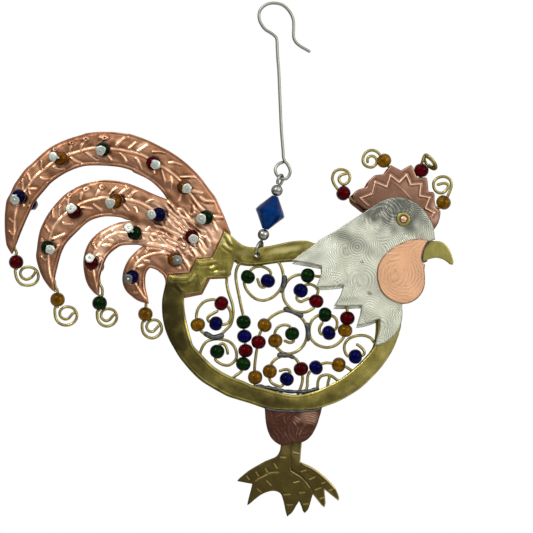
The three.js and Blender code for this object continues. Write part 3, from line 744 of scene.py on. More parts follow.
@dataclass
class Ridge:
    """A raised line that is pressed into a sheet from behind."""

    line: np.ndarray
    width: float = 1.3
    height: float = 0.2
    fade: float = 0.12
    smooth_line: bool = True

    def course(self, step: float) -> np.ndarray:
        """Gives the ridge's line at even steps."""
        if self.smooth_line and len(self.line) > 2:
            return smooth(self.line, step)
        parts = [smooth(self.line[i : i + 2], step)[:-1] for i in range(len(self.line) - 1)]
        return np.vstack([*parts, self.line[-1:]])

    def rows(self) -> np.ndarray:
        """Gives points along the ridge's top, flanks and foot, so that its shape stays crisp."""
        line = self.course(0.8)
        ways = np.gradient(line, axis=0)
        ways /= np.maximum(np.linalg.norm(ways, axis=1), 1e-9)[:, None]
        aside = np.stack([-ways[:, 1], ways[:, 0]], 1)
        steps = (0.0, 0.5, -0.5, 1.0, -1.0, 1.7, -1.7)
        return np.vstack([line + aside * self.width * k for k in steps])

    def height_at(self, points: np.ndarray) -> np.ndarray:
        """Gives the ridge's height in millimetres at drawing points."""
        line = self.course(1.0)
        low, high = line.min(0) - 4 * self.width, line.max(0) + 4 * self.width
        near = np.all((points > low) & (points < high), axis=1)
        result = np.zeros(len(points))
        if near.any():
            d, share = distance(points[near], line)
            taper = ease(share / self.fade) * ease((1 - share) / self.fade) if self.fade else 1.0
            core = np.exp(-((d / self.width) ** 2))
            trough = np.exp(-(((d - 2.1 * self.width) / self.width) ** 2))
            result[near] = self.height * (core - 0.35 * trough) * taper
        return result


@dataclass
class Sheet:
    """A thin sheet with a cut outline, a domed face and raised lines.

    Sizes are in millimetres, and widths on the drawing in its units.
    """

    name: str
    outline: np.ndarray
    layer: float
    thickness: float = 0.5
    holes: list[np.ndarray] = field(default_factory=list)
    ridges: list[Ridge] = field(default_factory=list)
    dome: float = 0.0
    dome_width: float = 8.0
    edge: float = 0.22
    edge_width: float = 1.6
    rumple: float = 0.0
    rumple_length: float = 30.0
    crinkle: float = 0.0
    crinkle_area: np.ndarray | None = None
    flat_inside: np.ndarray | None = None
    seats: np.ndarray | None = None
    # Patches of painted shade.
    stains: tuple[Patch, ...] = ()
    # Patches of painted highlight.
    lights: tuple[Patch, ...] = ()
    # The tone painted at the cut edge: low paints a dark outline of shade, high a bright rim of highlight.
    edge_wear: float = 0.5
    edge_shade: float = 0.0
    # The tone painted on the inner face where it shows: high paints a highlight and low paints shade.
    inner_wear: float = 0.4
    inner_gain: float = 0.0
    step: float = 1.25
    seed: int = 1
    relief_gain: float = 1.6

    def holds(self, points: np.ndarray) -> np.ndarray:
        """Tells which drawing points lie on the sheet and in none of its holes."""
        keep = inside(points, self.outline)
        for hole in self.holes:
            keep &= ~inside(points, hole)
        return keep

    def points(self) -> np.ndarray:
        """Spreads points over the sheet: its edges, rows just inside them, and a staggered grid."""
        loops = [self.outline, *self.holes]
        low, high = self.outline.min(0), self.outline.max(0)
        xs = np.arange(low[0], high[0], self.step)
        ys = np.arange(low[1], high[1], self.step * 0.866)
        grid = np.array([(x + (self.step / 2 if j % 2 else 0), y) for j, y in enumerate(ys) for x in xs])
        grid = grid[self.holds(grid)]
        grid = grid[from_edges(grid, loops) > self.edge_width + 0.45 * self.step]
        rows = []
        for loop in loops:
            ways = np.roll(loop, -1, 0) - np.roll(loop, 1, 0)
            lengths = np.maximum(np.linalg.norm(ways, axis=1), 1e-9)
            normal = np.stack([-ways[:, 1], ways[:, 0]], 1) / lengths[:, None]
            depths = [d for d in EDGE_ROWS if d < self.edge_width - EDGE_ROWS[0]] + [self.edge_width]
            for depth in depths:
                for sign in (-1, 1):
                    rows.append(loop + normal * sign * depth)
        rows = np.vstack(rows + [ridge.rows() for ridge in self.ridges])
        rows = rows[self.holds(rows)]
        rows = rows[from_edges(rows, loops) > EDGE_CLEARANCE]
        return spaced([*loops, rows, grid], POINT_GAP, len(loops))

    def heights(self, points: np.ndarray) -> tuple[np.ndarray, np.ndarray, np.ndarray]:
        """Works out the face's shape at drawing points.

        Args:
            points: Rows of drawing points.

        Returns:
            The broad height that both faces follow, the drop of the rounded edge, and the wear and painted
            light from 0 to 1.
        """
        large = [self.outline, *(hole for hole in self.holes if np.ptp(hole[:, 0]) > LARGE_HOLE)]
        d = from_edges(points, large)
        broad = self.dome * (1 - (1 - np.clip(d / self.dome_width, 0, 1)) ** 2)
        pressed = sum((ridge.height_at(points) for ridge in self.ridges), np.zeros(len(points)))
        if self.crinkle and self.crinkle_area is not None:
            spread = distance(points, self.crinkle_area, closed=True)[0]
            where = ease(np.where(inside(points, self.crinkle_area), spread, 0) / 12)
            cos, sin = math.cos(CRINKLE_TURN), math.sin(CRINKLE_TURN)
            along = points @ (cos, sin) + 2.2 * waves(points, 24, self.seed + 8)
            across = points @ (-sin, cos) + 1.5 * waves(points, 18, self.seed + 9)
            stretched = np.stack([along / 3.2, across], 1)
            folds = 1 - 2 * np.abs(waves(stretched, 9, self.seed + 5))
            pressed = pressed + self.crinkle * where * np.clip(folds, -0.7, 1)
        pressed = pressed * ease(d / 2.2)
        broad = broad + self.rumple * waves(points, self.rumple_length, self.seed) * ease(d / 6)
        if self.flat_inside is not None:
            gap = distance(points, self.flat_inside, closed=True)[0]
            free = np.where(inside(points, self.flat_inside), 0, ease(gap / 2.5))
            broad, pressed = broad * free, pressed * free
        for seat in self.seats if self.seats is not None else ():
            free = ease((np.hypot(*(points - seat).T) - SEAT_FLAT) / SEAT_FADE)
            broad, pressed = broad * (0.3 + 0.7 * free), pressed * free
        drop = np.clip(1 - d / self.edge_width, 0, 1)
        drop = self.edge * (1 - np.sqrt(np.clip(1 - drop**2, 0, 1)))
        # The ridges raise it, partly rubbed polish and partly painted highlight; painted shade lowers it
        # towards the edges, patches of painted highlight raise it, and the cut edge takes its painted tone.
        wear_and_light = 0.5 + self.relief_gain * pressed - self.edge_shade * ease(1 - d / self.dome_width)
        wear_and_light = wear_and_light + self.patches_at(points, self.lights)
        wear_and_light = np.where(d < 0.9, self.edge_wear, wear_and_light)
        return broad + pressed, drop, np.clip(wear_and_light, 0, 1)

    def patches_at(self, points: np.ndarray, patches: tuple) -> np.ndarray:
        """Adds up soft patches at drawing points.

        Args:
            points: Rows of drawing points.
            patches: Each patch's middle, its two half widths, its turn in degrees and its strength.

        Returns:
            The strength at each point.
        """
        total = np.zeros(len(points))
        ragged = 0.35 * waves(points, 16, self.seed + 50)
        for x, y, wide, high, turn, amount in patches:
            a = math.radians(turn)
            away = points - (x, y)
            u = away[:, 0] * math.cos(a) + away[:, 1] * math.sin(a)
            v = away[:, 1] * math.cos(a) - away[:, 0] * math.sin(a)
            r = np.sqrt((u / wide) ** 2 + (v / high) ** 2)
            total += amount * ease(1.25 - 0.75 * r + 0.4 * ragged)
        return total

    def build(self, side: Side, material: bpy.types.Material, slip: Point = (0.0, 0.0),
              name: str | None = None) -> bpy.types.Object:
        """Builds the closed mesh on one side of the ornament.

        Args:
            side: Front or rear.
            material: What it is made of.
            slip: How far it slipped, in drawing units.
            name: The piece's name, or none for the sheet's own with its side.

        Returns:
            The object.
        """
        places, count = self.points(), 0
        edges = []
        for loop in [self.outline, *self.holes]:
            n = len(loop)
            edges.extend([(count + i, count + (i + 1) % n) for i in range(n)])
            count += n
        verts, _, triangles, *_ = delaunay_2d_cdt([Vector(p) for p in places], edges, [], 1, 1e-5)
        flat = np.array([tuple(v) for v in verts])
        tris = np.array([t for t in triangles if len(t) == 3])
        tris = tris[self.holds(flat[tris].mean(1))]
        used = np.unique(tris)
        number = np.full(len(flat), -1)
        number[used] = np.arange(len(used))
        flat, tris = flat[used], number[tris]
        broad, drop, wear_and_light = self.heights(flat)
        a, b, c = (flat[tris[:, k]] for k in range(3))
        area = (b - a)[:, 0] * (c - a)[:, 1] - (b - a)[:, 1] * (c - a)[:, 0]
        tris[area < 0] = tris[area < 0][:, ::-1]
        place = DRAWING.place(flat + np.array(slip))
        outer = (self.layer + self.thickness + broad - drop) * MM * side.value
        inner = (self.layer + np.minimum(broad, broad * 0.9)) * MM * side.value
        n = len(flat)
        # A drawing runs y down, so a triangle that turns positively on it turns clockwise seen from -Y.
        front = tris[:, ::-1] if side is Side.FRONT else tris
        border = {}
        for a, b, c in front:
            for i, j in ((a, b), (b, c), (c, a)):
                if border.pop((j, i), None) is None:
                    border[(i, j)] = True
        faces = [list(map(int, t)) for t in front]
        faces += [[int(t[2]) + n, int(t[1]) + n, int(t[0]) + n] for t in front]
        faces += [[int(j), int(i), int(i) + n, int(j) + n] for i, j in border]
        label = name or f"{self.name}_{side.label}_sheet"
        # The inner face takes its own painted tone, plus the ridges' relief turned over where a gain is set.
        relief = np.concatenate([wear_and_light, np.clip(self.inner_wear + self.inner_gain * (0.5 - wear_and_light), 0, 1)])
        # Patches of painted shade, the same on both faces.
        painted_shade = np.tile(np.clip(self.patches_at(flat, self.stains), 0, 1), 2)
        return mesh_object(label, np.vstack([lifted(place, outer), lifted(place, inner)]), faces, material,
                           relief, painted_shade)


def circle(centre: Point, radius: float, count: int = 28) -> np.ndarray:
    """Gives points round a circle on the drawing."""
    a = np.arange(count) / count * 2 * math.pi
    return np.stack([centre[0] + radius * np.cos(a), centre[1] + radius * np.sin(a)], 1)


@dataclass
class BeadShape:
    """A pressed glass bead with softly rounded ends and a bore, in millimetres."""

    diameter: float = 4.05
    length: float = 3.65
    bore: float = 1.0
    fullness: float = 0.86
    lip: float = 0.28
    chamfer: float = 0.1

    def mesh(self, centre: np.ndarray, axis: np.ndarray, seed: int = 0) -> Mesh:
        """Builds one bead, each a little uneven.

        Args:
            centre: Its middle in metres.
            axis: Direction of its bore.
            seed: Picks its unevenness.

        Returns:
            Points and faces.
        """
        rng = np.random.default_rng(seed + 100)
        d = self.diameter * rng.uniform(0.975, 1.0)
        length = self.length * rng.uniform(0.95, 1.0)
        profile = [(self.bore / 2, -length / 2 + self.lip),
                   (self.bore / 2 + 0.08, -length / 2 + self.chamfer)]
        neck = self.bore / 2 + 0.2
        end = math.acos((neck / (d / 2)) ** (1 / self.fullness))
        for a in np.linspace(-end, end, 19):
            profile.append((d / 2 * math.cos(a) ** self.fullness, length / 2 * math.sin(a) / math.sin(end)))
        profile += [(self.bore / 2 + 0.08, length / 2 - self.chamfer), (self.bore / 2, length / 2 - self.lip)]
        points, faces = lathe(profile, np.asarray(centre), np.asarray(axis), 32)
        uneven = waves(points / MM, 3.5, seed)[:, None] * 0.02 * MM
        return points + uneven * (points - centre) / (1.9 * MM), faces


# The ornament's pieces.


class Bead(Enum):
    """The glass colours of the beads."""

    RED = "red_glass"
    AMBER = "amber_glass"
    GREEN = "green_glass"
    BLUE = "blue_glass"


BEAD_LETTERS = {"r": Bead.RED, "a": Bead.AMBER, "g": Bead.GREEN, "b": Bead.BLUE}


@dataclass(frozen=True)
class Layers:
    """Where each layer of sheet starts, in millimetres from the middle of the ornament, as in the solids."""

    foot: float = 0.15
    inner: float = 0.65
    tail: float = 0.75
    ring: float = 1.15
    head: float = 1.65
    top: float = 2.15


LAYERS = Layers()
HUNG = np.array([DRAWING.hang_shift[0], 0.0, DRAWING.hang_shift[1]])
LEVEL = (0.0, 0.0)
RING_SLIP = (-0.5 / UNIT_MM, 0.5 / UNIT_MM)
COMB_SLIP = (-0.8 / UNIT_MM, 0.8 / UNIT_MM)
HEAD_SLIP = (0.0, 0.9 / UNIT_MM)


class Finishes:
    """Every material of the ornament, made once."""

    def __init__(self) -> None:
        """Builds the shared effects and all the finishes."""
        groups = EffectGroups()
        metals = [
            Metal("tail_copper", (0.50, 0.26, 0.15), (0.27, 0.12, 0.058), (0.94, 0.59, 0.39),
                  (0.135, 0.052, 0.027), cloud=5.0, speckle=0.15, rough=0.22, rough_tarnish=0.36, shine=0.7,
                  grime=0.85, dent=2.8, dent_depth=1.0, scratch=0.3, bump=0.09),
            Metal("comb_copper", (0.26, 0.14, 0.09), (0.18, 0.09, 0.058), (0.95, 0.6, 0.42),
                  (0.08, 0.03, 0.02), cloud=7.0, amount=0.4, rough=0.28, shine=0.75, dent=5.0, scratch=0.3),
            Metal("wattle_copper", (0.84, 0.475, 0.27), (0.62, 0.34, 0.185), (0.95, 0.7, 0.5),
                  (0.16, 0.07, 0.05), cloud=3.0, amount=0.35, speckle=0.15, shine=0.2, grime=0.85, swirl=0.28,
                  swirl_centres=12.0, swirl_rings=1.2, swirl_tone=0.24, scratch=0.5, bump=0.02),
            Metal("thigh_copper", (0.10, 0.042, 0.028), (0.07, 0.028, 0.019), (0.75, 0.45, 0.3),
                  (0.04, 0.015, 0.01), cloud=4.0, amount=0.5, rough=0.33, shine=0.3, swirl=0.12,
                  swirl_centres=9.0, swirl_rings=1.0, swirl_tone=0.05, bump=0.04),
            Metal("ring_brass", (0.37, 0.305, 0.072), (0.15, 0.122, 0.03), (0.95, 0.87, 0.36),
                  (0.045, 0.036, 0.012), cloud=3.2, amount=0.44, speckle=0.5, rough=0.22, rough_tarnish=0.34,
                  shine=0.7, dent=9.0, dent_depth=1.0, scratch=0.25, bump=0.12),
            Metal("beak_brass", (0.34, 0.305, 0.085), (0.22, 0.19, 0.052), (0.8, 0.72, 0.3),
                  (0.08, 0.06, 0.02), cloud=4.0, amount=0.4, rough=0.36, shine=0.5, grime=0.4, scratch=0.3),
            Metal("washer_brass", (0.27, 0.235, 0.07), (0.16, 0.135, 0.04), (0.7, 0.62, 0.25),
                  (0.025, 0.02, 0.008), cloud=2.0, amount=0.4, shine=0.5, grime=0.95, scratch=0.3),
            Metal("foot_brass", (0.125, 0.095, 0.026), (0.075, 0.055, 0.015), (0.6, 0.5, 0.2),
                  (0.05, 0.034, 0.01), cloud=5.0, amount=0.5, speckle=0.4, rough_tarnish=0.4, shine=0.45,
                  grime=0.6, dent=6.0, dent_depth=0.8, scratch=0.25, bump=0.07),
            Metal("head_silver", (0.82, 0.84, 0.67), (0.52, 0.53, 0.41), (0.95, 0.96, 0.85),
                  (0.12, 0.12, 0.10), cloud=9.0, amount=0.40, speckle=0.08, rough=0.25, rough_tarnish=0.34,
                  shine=0.4, grime=0.7, swirl=0.34, swirl_centres=11.0, swirl_rings=1.8, swirl_tone=0.27,
                  dent=13.0, dent_depth=1.6, scratch=0.2, bump=0.035,
                  target=tuple(DRAWING.place([(357.0, 247.0)])[0] / MM)),
            Metal("wire_brass", (0.40, 0.335, 0.115), (0.20, 0.16, 0.05), (0.95, 0.82, 0.4),
                  (0.08, 0.06, 0.02), cloud=2.5, speckle=0.15, rough=0.28, rough_tarnish=0.4, dent=1.2,
                  dent_depth=0.3, bump=0.03),
            Metal("wire_steel", (0.27, 0.28, 0.235), (0.15, 0.155, 0.13), (0.8, 0.8, 0.75), (0.1, 0.1, 0.09),
                  cloud=9.0, amount=0.15, rough=0.36, dent=6.0, scratch=0.03, dent_depth=0.1, bump=0.01,
                  speckle=0.0, rim=1.0),
            Metal("ball_steel", (0.36, 0.355, 0.32), (0.2, 0.195, 0.17), (0.8, 0.8, 0.75), (0.1, 0.1, 0.09),
                  cloud=1.6, amount=0.4, rough=0.18, rough_tarnish=0.28, dent=1.0, scratch=0.3, bump=0.02),
            Metal("pin_silver", (0.60, 0.63, 0.56), (0.36, 0.38, 0.33), (0.98, 1.0, 0.98), (0.2, 0.2, 0.2),
                  cloud=0.8, speckle=0.6, dent=0.6, scratch=1.2, bump=0.035),
            Metal("pin_tarnished", (0.22, 0.225, 0.205), (0.11, 0.115, 0.105), (0.6, 0.63, 0.63),
                  (0.06, 0.06, 0.07), cloud=0.9, amount=0.5, speckle=0.4, rough=0.38, dent=0.6,
                  dent_depth=1.0, scratch=0.7, bump=0.06),
            Metal("solder", (0.13, 0.135, 0.13), (0.065, 0.068, 0.068), (0.4, 0.42, 0.44), (0.03, 0.03, 0.03),
                  cloud=1.2, amount=0.5, rough=0.36, rough_tarnish=0.55, dent=0.8, dent_depth=1.2, bump=0.08),
            Metal("rivet_copper", (0.70, 0.42, 0.28), (0.42, 0.22, 0.13), (0.95, 0.7, 0.5),
                  (0.12, 0.05, 0.03), cloud=1.2, amount=0.4, rough=0.25, dent=0.8, dent_depth=0.6, bump=0.04),
        ]
        glasses = [
            Glass("red_glass", (0.022, 0.0002, 0.0006), (0.115, 0.0006, 0.004), (0.8, 0.06, 0.08)),
            Glass("amber_glass", (0.12, 0.046, 0.0006), (0.36, 0.165, 0.002), (1.0, 0.6, 0.12),
                  transmission=0.6, rim=0.85),
            # Copies of the amber, green and blue glass for the tail's pins, painted darker as shade, and the
            # amber one also painted more orange, a painted glow of the copper behind it.
            Glass("pin_amber_glass", (0.085, 0.022, 0.0006), (0.42, 0.12, 0.002), (1.0, 0.5, 0.1),
                  transmission=0.5),
            Glass("pin_green_glass", (0.001, 0.003, 0.0008), (0.003, 0.012, 0.002), (0.12, 0.4, 0.12)),
            Glass("pin_blue_glass", (0.0006, 0.0004, 0.01), (0.002, 0.001, 0.05), (0.1, 0.1, 0.6)),
            Glass("green_glass", (0.0015, 0.006, 0.001), (0.005, 0.028, 0.003), (0.12, 0.45, 0.12)),
            Glass("blue_glass", (0.0008, 0.0005, 0.02), (0.0025, 0.0015, 0.095), (0.1, 0.1, 0.7)),
            Glass("blue_crystal", (0.0003, 0.013, 0.08), (0.0006, 0.036, 0.2), (0.04, 0.35, 1.0), rough=0.05,
                  mirror=0.2, rim=0.55),
        ]
        self.made = {f.name: f.material(groups) for f in (*metals, *glasses)}

    def __getitem__(self, name: str) -> bpy.types.Material:
        """Gives a material by its finish's name."""
        return self.made[name]


def put(piece: bpy.types.Object, body: str, slot: str, *nodes: str) -> bpy.types.Object:
    """Lets a piece ride on a body and stand for the nodes that it replaces."""
    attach(piece, body)
    if nodes:
        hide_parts(*nodes)
    log.info("%s rides on %s, %d points", piece.name, body, len(piece.data.vertices))
    return piece


def solder_line(name: str, text: str, depth: float, radius: float, swell: float, length: float, seed: int,
                finish: bpy.types.Material) -> bpy.types.Object:
    """Builds an uneven line of solder on a sheet.

    Args:
        name: The piece's name.
        text: The line's drawing points.
        depth: Where it lies from front to rear, in millimetres.
        radius: Its mean radius in millimetres.
        swell: How much that changes.
        length: How long the lumps are.
        seed: Picks their pattern.
        finish: What it is made of.

    Returns:
        The object.
    """
    path = lifted(DRAWING.place(smooth(stroke(text), 0.6)), depth * MM)
    lumps = (radius + swell * waves(path / MM, length, seed, 8)) * MM
    return mesh_object(name, *tube(path, lumps, 10), finish)


def shifted(line: np.ndarray, side: int, width: float) -> np.ndarray:
    """Moves a line sideways by a width."""
    ways = np.gradient(line, axis=0)
    ways /= np.linalg.norm(ways, axis=1)[:, None]
    return line + side * width * np.stack([-ways[:, 1], ways[:, 0]], 1)


@dataclass
class Tail:
    """The four copper feathers, one sheet in front and one behind.

    `long_rows` and `short_rows` hold, for the barbs along the two long ribs and the two short ones, their
    spacing, where they begin, how far before the rib's end they stop, and their least and greatest reach.
    """

    finishes: Finishes
    pins: "TailPins"
    long_rows: tuple[float, int, int, int, int] = (15.0, 9, 52, 15, 19)
    short_rows: tuple[float, int, int, int, int] = (11.0, 8, 40, 8, 11)
    strokes: tuple[str, ...] = (
        "11.5,254 9,250 6.5,245 5,235 4.5,225 4.6,215 5,210 6.5,200 10,193.5 13.8,185 18.5,178 25.4,168.8 "
        "32.3,162.7 40,155.4 50,147.3 60,142 70,138 80,135 87,132.7 95,131.3 110,131 120,132 130,133.8 "
        "140,137 150,141 160,146 170,151.3 180,158 190,166.3 200,176.5 210,189.8 215.4,197 220.4,207.7 "
        "225,218 228,226",
        "230.5,232", "231,275", "210,279.2", "202,294.5", "185,298", "176,289.9",
        "166,286.5 165.4,283 165,279.2 162.9,275 160,272.5 156.7,270 152.5,268.3 150,267.9 147.5,270 "
        "145.8,273.3 145,277.5 145,283.3 145.8,290 147.5,296.7",
        "148.6,303.6 141.7,302.1 136.7,300 131.7,296.3 126.7,291.7 123.8,286.7 122.3,280.8 122.5,275 "
        "123.8,269.2 125.8,264.2 129.2,258.3 133.3,253.8 138.3,249.2",
        "142.5,246 138.3,244.8 133.3,244.6 126.7,244.8 120,245.8 115,248.8 110,252.9 106.7,256.7 104.2,261.7 "
        "102.9,265 100.8,271.7 99.6,277.5 98.8,284.2 98.8,290.5",
        "98.3,295.8 95,293.8 91.7,290.4 88.3,285.8 85.8,280 84.2,273.3 83.2,265 83.3,259.2 84.6,252.5 "
        "86.7,246.7 90,240.8 95,235.4 100,231.3 105,228.3 110,225.8 115,223.8 120,222.1 126.7,221.3",
        "131.5,220.7 125.4,219.2 120,217.2 112,216.2 104,216.2 97,217.6 89.7,220.3 83.5,224.7 77,231 70,238 "
        "65,244 61,252 58.5,260 56.5,268 54.5,277 54.3,284 54.2,289",
        "55.2,292.3 50.3,288.5 46.7,284 43,278.6 39.5,270.5 37.2,263.3 35.9,256.2 36.8,248 37.3,243.5 "
        "38.5,235.8 40,229.6 42.3,224.2 45.4,218 49.2,211.9 53.8,205.8 60,198.8 65.4,193.8 70,190.8 "
        "77.7,186.5 85,183.5 92.3,181.2 100,179.6 110,179.5 120,180.8 130,183.8 140,187.7 150,192.3 "
        "160,196.5",
        "167,199 162.3,192 156,185.4 150,180.4 140,174.6 130,169.6 120,166.8 110,165.6 100,165 92,165 "
        "85,165.4 77,167.3 70,170 63,173.5 57,177.3 50,182.7 44.6,188.8 40,194.2 36,199 33,202.7 29.6,210.4 "
        "25.4,219.6 20.8,230.4 16,243 14.4,247",
    )
    ribs: tuple[str, ...] = (
        "12,246 14,235 15,215 20,198 26.5,189 34,178.5 44,169.5 60,158 76,152.5 95,148 104,149.6 114,149 "
        "125,150.8 135,152.8 145,156.5 154,163 166,169 180,180.5 185,187.5 193,198 206,217 219,233",
        "53,286 49,270 48.5,247 50,238 54,227 63,216 75,208 81,204 88,201 97,199 105,197.5 116,199.5 "
        "127,199.5 138,202 148,207 159,214.5 175,222 190,234",
        "97,291 94,275 92,262.5 97,250 103,241 110,236 118,233 135,233 150,234 170,238 190,248",
        "146,300 138,288 132.5,277 136,265 143,258 152,254 165,253 185,262",
    )
    slit: str = "167,200 174,208 183,216 194,225 205,236"
    root_area: str = (
        "150,196 168,202 180,196 205,212 222,236 204,256 192,271 172,272 160,262 150,250 146,232 142,214"
    )
    root_folds: tuple[str, ...] = (
        "176,206.7 185,213.3 192.8,222.2 197.2,226.7 204.4,232.8 207.2,238.9 212.8,246.7",
        "190.6,195.6 197.2,203.3 202.8,209.4 212.8,222.2 218.3,232.2",
        "166.7,213.3 172.8,218.9 179.4,224.4 185,231.1",
        "151.7,224.4 162.8,226.7 171.7,232.2 177.2,234.4 185,240", "201.7,234.4 206,240 210.6,247.8",
        "145,244.4 153.9,244.4 163.9,246.7 171.7,248.9 177.2,252.2", "197.2,242.2 201.7,250 206,255.6",
        "190.6,247.8 195,253.3 198,258", "179.4,252.2 183.9,258.9 188.3,265.6 190.6,270",
        "199.4,196.7 206,201 215,201", "193.9,203.3 193.9,214.4", "211.7,216.7 223.9,216.7",
        "166,238 173,243 180,247", "156,216 166,219 175,226", "180,236 187,243 192,251",
        "187,228 193,235 199,240", "178,212 184,222 191,229", "205,212 209,222 214,230",
        "168,259 175,264 181,270", "158,230 167,235 174,240",
    )
    long_barbs: tuple[str, ...] = (
        "80,150.6 82.5,145 86,140.6", "68.9,155 70,150 71.7,145", "115.6,146.7 120,142 125.6,137.8",
        "98,147 101,142 103.9,139", "52,160 52.5,155 54.4,151", "86,152.2 92,156.5 98.9,160",
        "70,157.2 77,161.5 84.4,164.4", "52.2,166 58.5,168.3 65.6,169.4", "40,177.8 45.5,178.8 51,178.9",
        "120,152.8 124,157.3 126.7,162.2", "106.7,155 109.5,157.6 111.7,160.6",
        "135.6,157.2 139.2,163 142.4,170", "80,200 81.7,194.6 84.4,190", "95.5,197.8 98,192.5 101,187.8",
        "108.9,195.5 113,190.8 117.8,186.7", "127.8,197.8 132.5,193.5 137.8,190", "68,206 68,201 69,197",
        "53,208 52.6,213 53.5,218", "92.8,203.9 98,207.6 103.3,210.6", "134.4,206.7 136.2,210 136.7,213.3",
        "62.2,222.8 67.7,223.7 73.3,223.9", "30,195 28.5,189 29,184", "24,207 22,201 22.5,196",
        "27,205 33,206.5 38,206", "136.5,151.5 141.5,149.2 147.8,144.6", "152,152 158,151.5 165,152.5",
        "168,163 175,162.5 182,165", "150,164 153,169 154.5,174",
    )
    bulbs: tuple[tuple[float, float, float, float], ...] = (
        (71, 142.4, 1.9, 1.3), (85.2, 138.8, 3.8, 1.6), (103.9, 137.6, 4.6, 1.7), (54.4, 149.4, 2.0, 1.3),
        (85.5, 188.9, 2.4, 1.4), (69, 195, 2.0, 1.3), (101.5, 187, 1.7, 1.2),
    )
    # Patches of painted highlight on the feathers and the root.
    lights: tuple[Patch, ...] = (
        (119.5, 140.5, 6, 2.6, -42, 0.5), (143.5, 146, 7, 3, -32, 0.5),
        (60, 163, 18, 4, -35, 0.1), (190, 187, 12, 7, 50, 0.14), (207, 208, 8, 14, -25, 0.14),
        (34, 205, 5, 18, 30, 0.1), (100, 192, 34, 6, 0, 0.16), (140, 208, 20, 6, 25, 0.18),
        (60, 215, 18, 6, -55, 0.14), (125, 233, 26, 8, 0, 0.48), (100, 255, 7, 20, 15, 0.42),
        (165, 212, 18, 8, 35, 0.42), (190, 237, 22, 13, 45, 0.62), (158, 243, 22, 7, 15, 0.5),
        (150, 262, 14, 5, 10, 0.2), (215, 232, 7, 12, 0, 0.4), (136, 258, 6, 10, 20, 0.14),
    )
    # Patches of painted shade on the feathers.
    stains: tuple[Patch, ...] = (
        (12, 205, 7, 40, 12, 0.35), (75, 140, 44, 9, -8, 0.5), (121, 144, 14, 7, 0, 0.3),
        (170, 152, 26, 5, 32, 0.35), (42, 262, 6, 26, -5, 0.3),
        (90, 276, 6, 20, -5, 0.35), (131, 287, 8, 18, -20, 0.4), (215, 262, 14, 14, 0, 0.4),
        (185, 282, 16, 9, 0, 0.45), (60, 200, 20, 5, -40, 0.2), (150, 262, 10, 5, -10, 0.3),
    )

    @staticmethod
    def fold(line: np.ndarray, height: float) -> Ridge:
        """Raises one soft line."""
        return Ridge(line, 1.0, 0.62 * height, 0.08)

    def barbs(self) -> list[Ridge]:
        """Draws the short slanting lines on both sides of each rib, which lean towards the root."""
        rng = np.random.default_rng(7)
        edge = outline_of(self.strokes, 2.0)
        made = [self.fold(stroke(text), 0.24) for text in self.long_barbs]
        for x, y, wide, high in self.bulbs:
            made.append(Ridge(np.array([(x - 0.5 * wide, y + 0.3), (x, y), (x + 0.5 * wide, y - 0.3)]), high,
                              0.17, 0.0))
            made.append(Ridge(np.array([(x + 0.2, y), (x + 0.5, y), (x + 1.0, y - 0.1)]), 0.75, -0.34, 0.0))
        traced = np.vstack([stroke(text) for text in self.long_barbs])
        for k, text in enumerate(self.ribs):
            rib = smooth(stroke(text), 1.0)
            spacing, start, rest, least, most = self.long_rows if k < 2 else self.short_rows
            stop = len(rib) - rest
            for side in (-1, 1):
                for i in np.arange(start + (side + 1) * 0.25 * spacing, stop, spacing):
                    j = int(i + rng.uniform(-1.5, 1.5))
                    root, way = rib[j], rib[min(j + 2, len(rib) - 1)] - rib[j]
                    way = way / np.linalg.norm(way)
                    out = side * np.array([-way[1], way[0]])
                    lean = rng.uniform(0.62, 0.85)
                    ray = out * math.cos(lean) + way * math.sin(lean)
                    reach = rng.uniform(least, most)
                    line = root + ray * np.linspace(2.2, reach, 12)[:, None]
                    line += out * (np.linspace(0, 1, 12)[:, None] ** 2) * rng.uniform(-0.8, 1.0)
                    room = distance(line, edge, closed=True)[0]
                    good = np.cumprod(inside(line, edge) & (room > 4.2)).astype(bool)
                    clear = np.hypot(*(traced - line[len(line) // 2]).T).min() > 6.5
                    if good.sum() >= 5 and clear:
                        made.append(self.fold(line[good], rng.uniform(0.18, 0.25)))
                        if rng.uniform() < 0.2:
                            made.append(Ridge(circle(line[good][-1] + ray * 0.5, 1.1, 9), 0.55, 0.14, 0.0))
        return made

    def sheet(self, side: Side) -> Sheet:
        """Lays out the embossed sheet, whose part under the ring stays flat.

        The front sheet is a little narrower than the rear one at the top of the two long feathers.
        """
        ridges = [Ridge(stroke(rib), 1.0, 0.15, 0.03) for rib in self.ribs]
        ridges.append(Ridge(stroke(self.slit), 1.1, 0.17, 0.1))
        # Shallow hollows beside the slit and the root folds, whose low relief also paints a dark line of
        # shade beside each raised line.
        ridges.append(Ridge(shifted(smooth(stroke(self.slit), 3), 1, 2.6), 1.1, -0.14, 0.1))
        ridges += [Ridge(stroke(fold), 1.2, 0.16, 0.15) for fold in self.root_folds]
        ridges += [Ridge(shifted(stroke(fold), 1, 2.6), 1.2, -0.08, 0.15) for fold in self.root_folds[:12]]
        # Raised lines just inside the feathers' inner edges, whose relief also paints a thin bright line of
        # highlight.
        ridges += [Ridge(shifted(smooth(stroke(self.strokes[k]), 2.0), 1, 1.7), 0.75, 0.12, 0.05)
                   for k in (7, 9, 11, 13)]
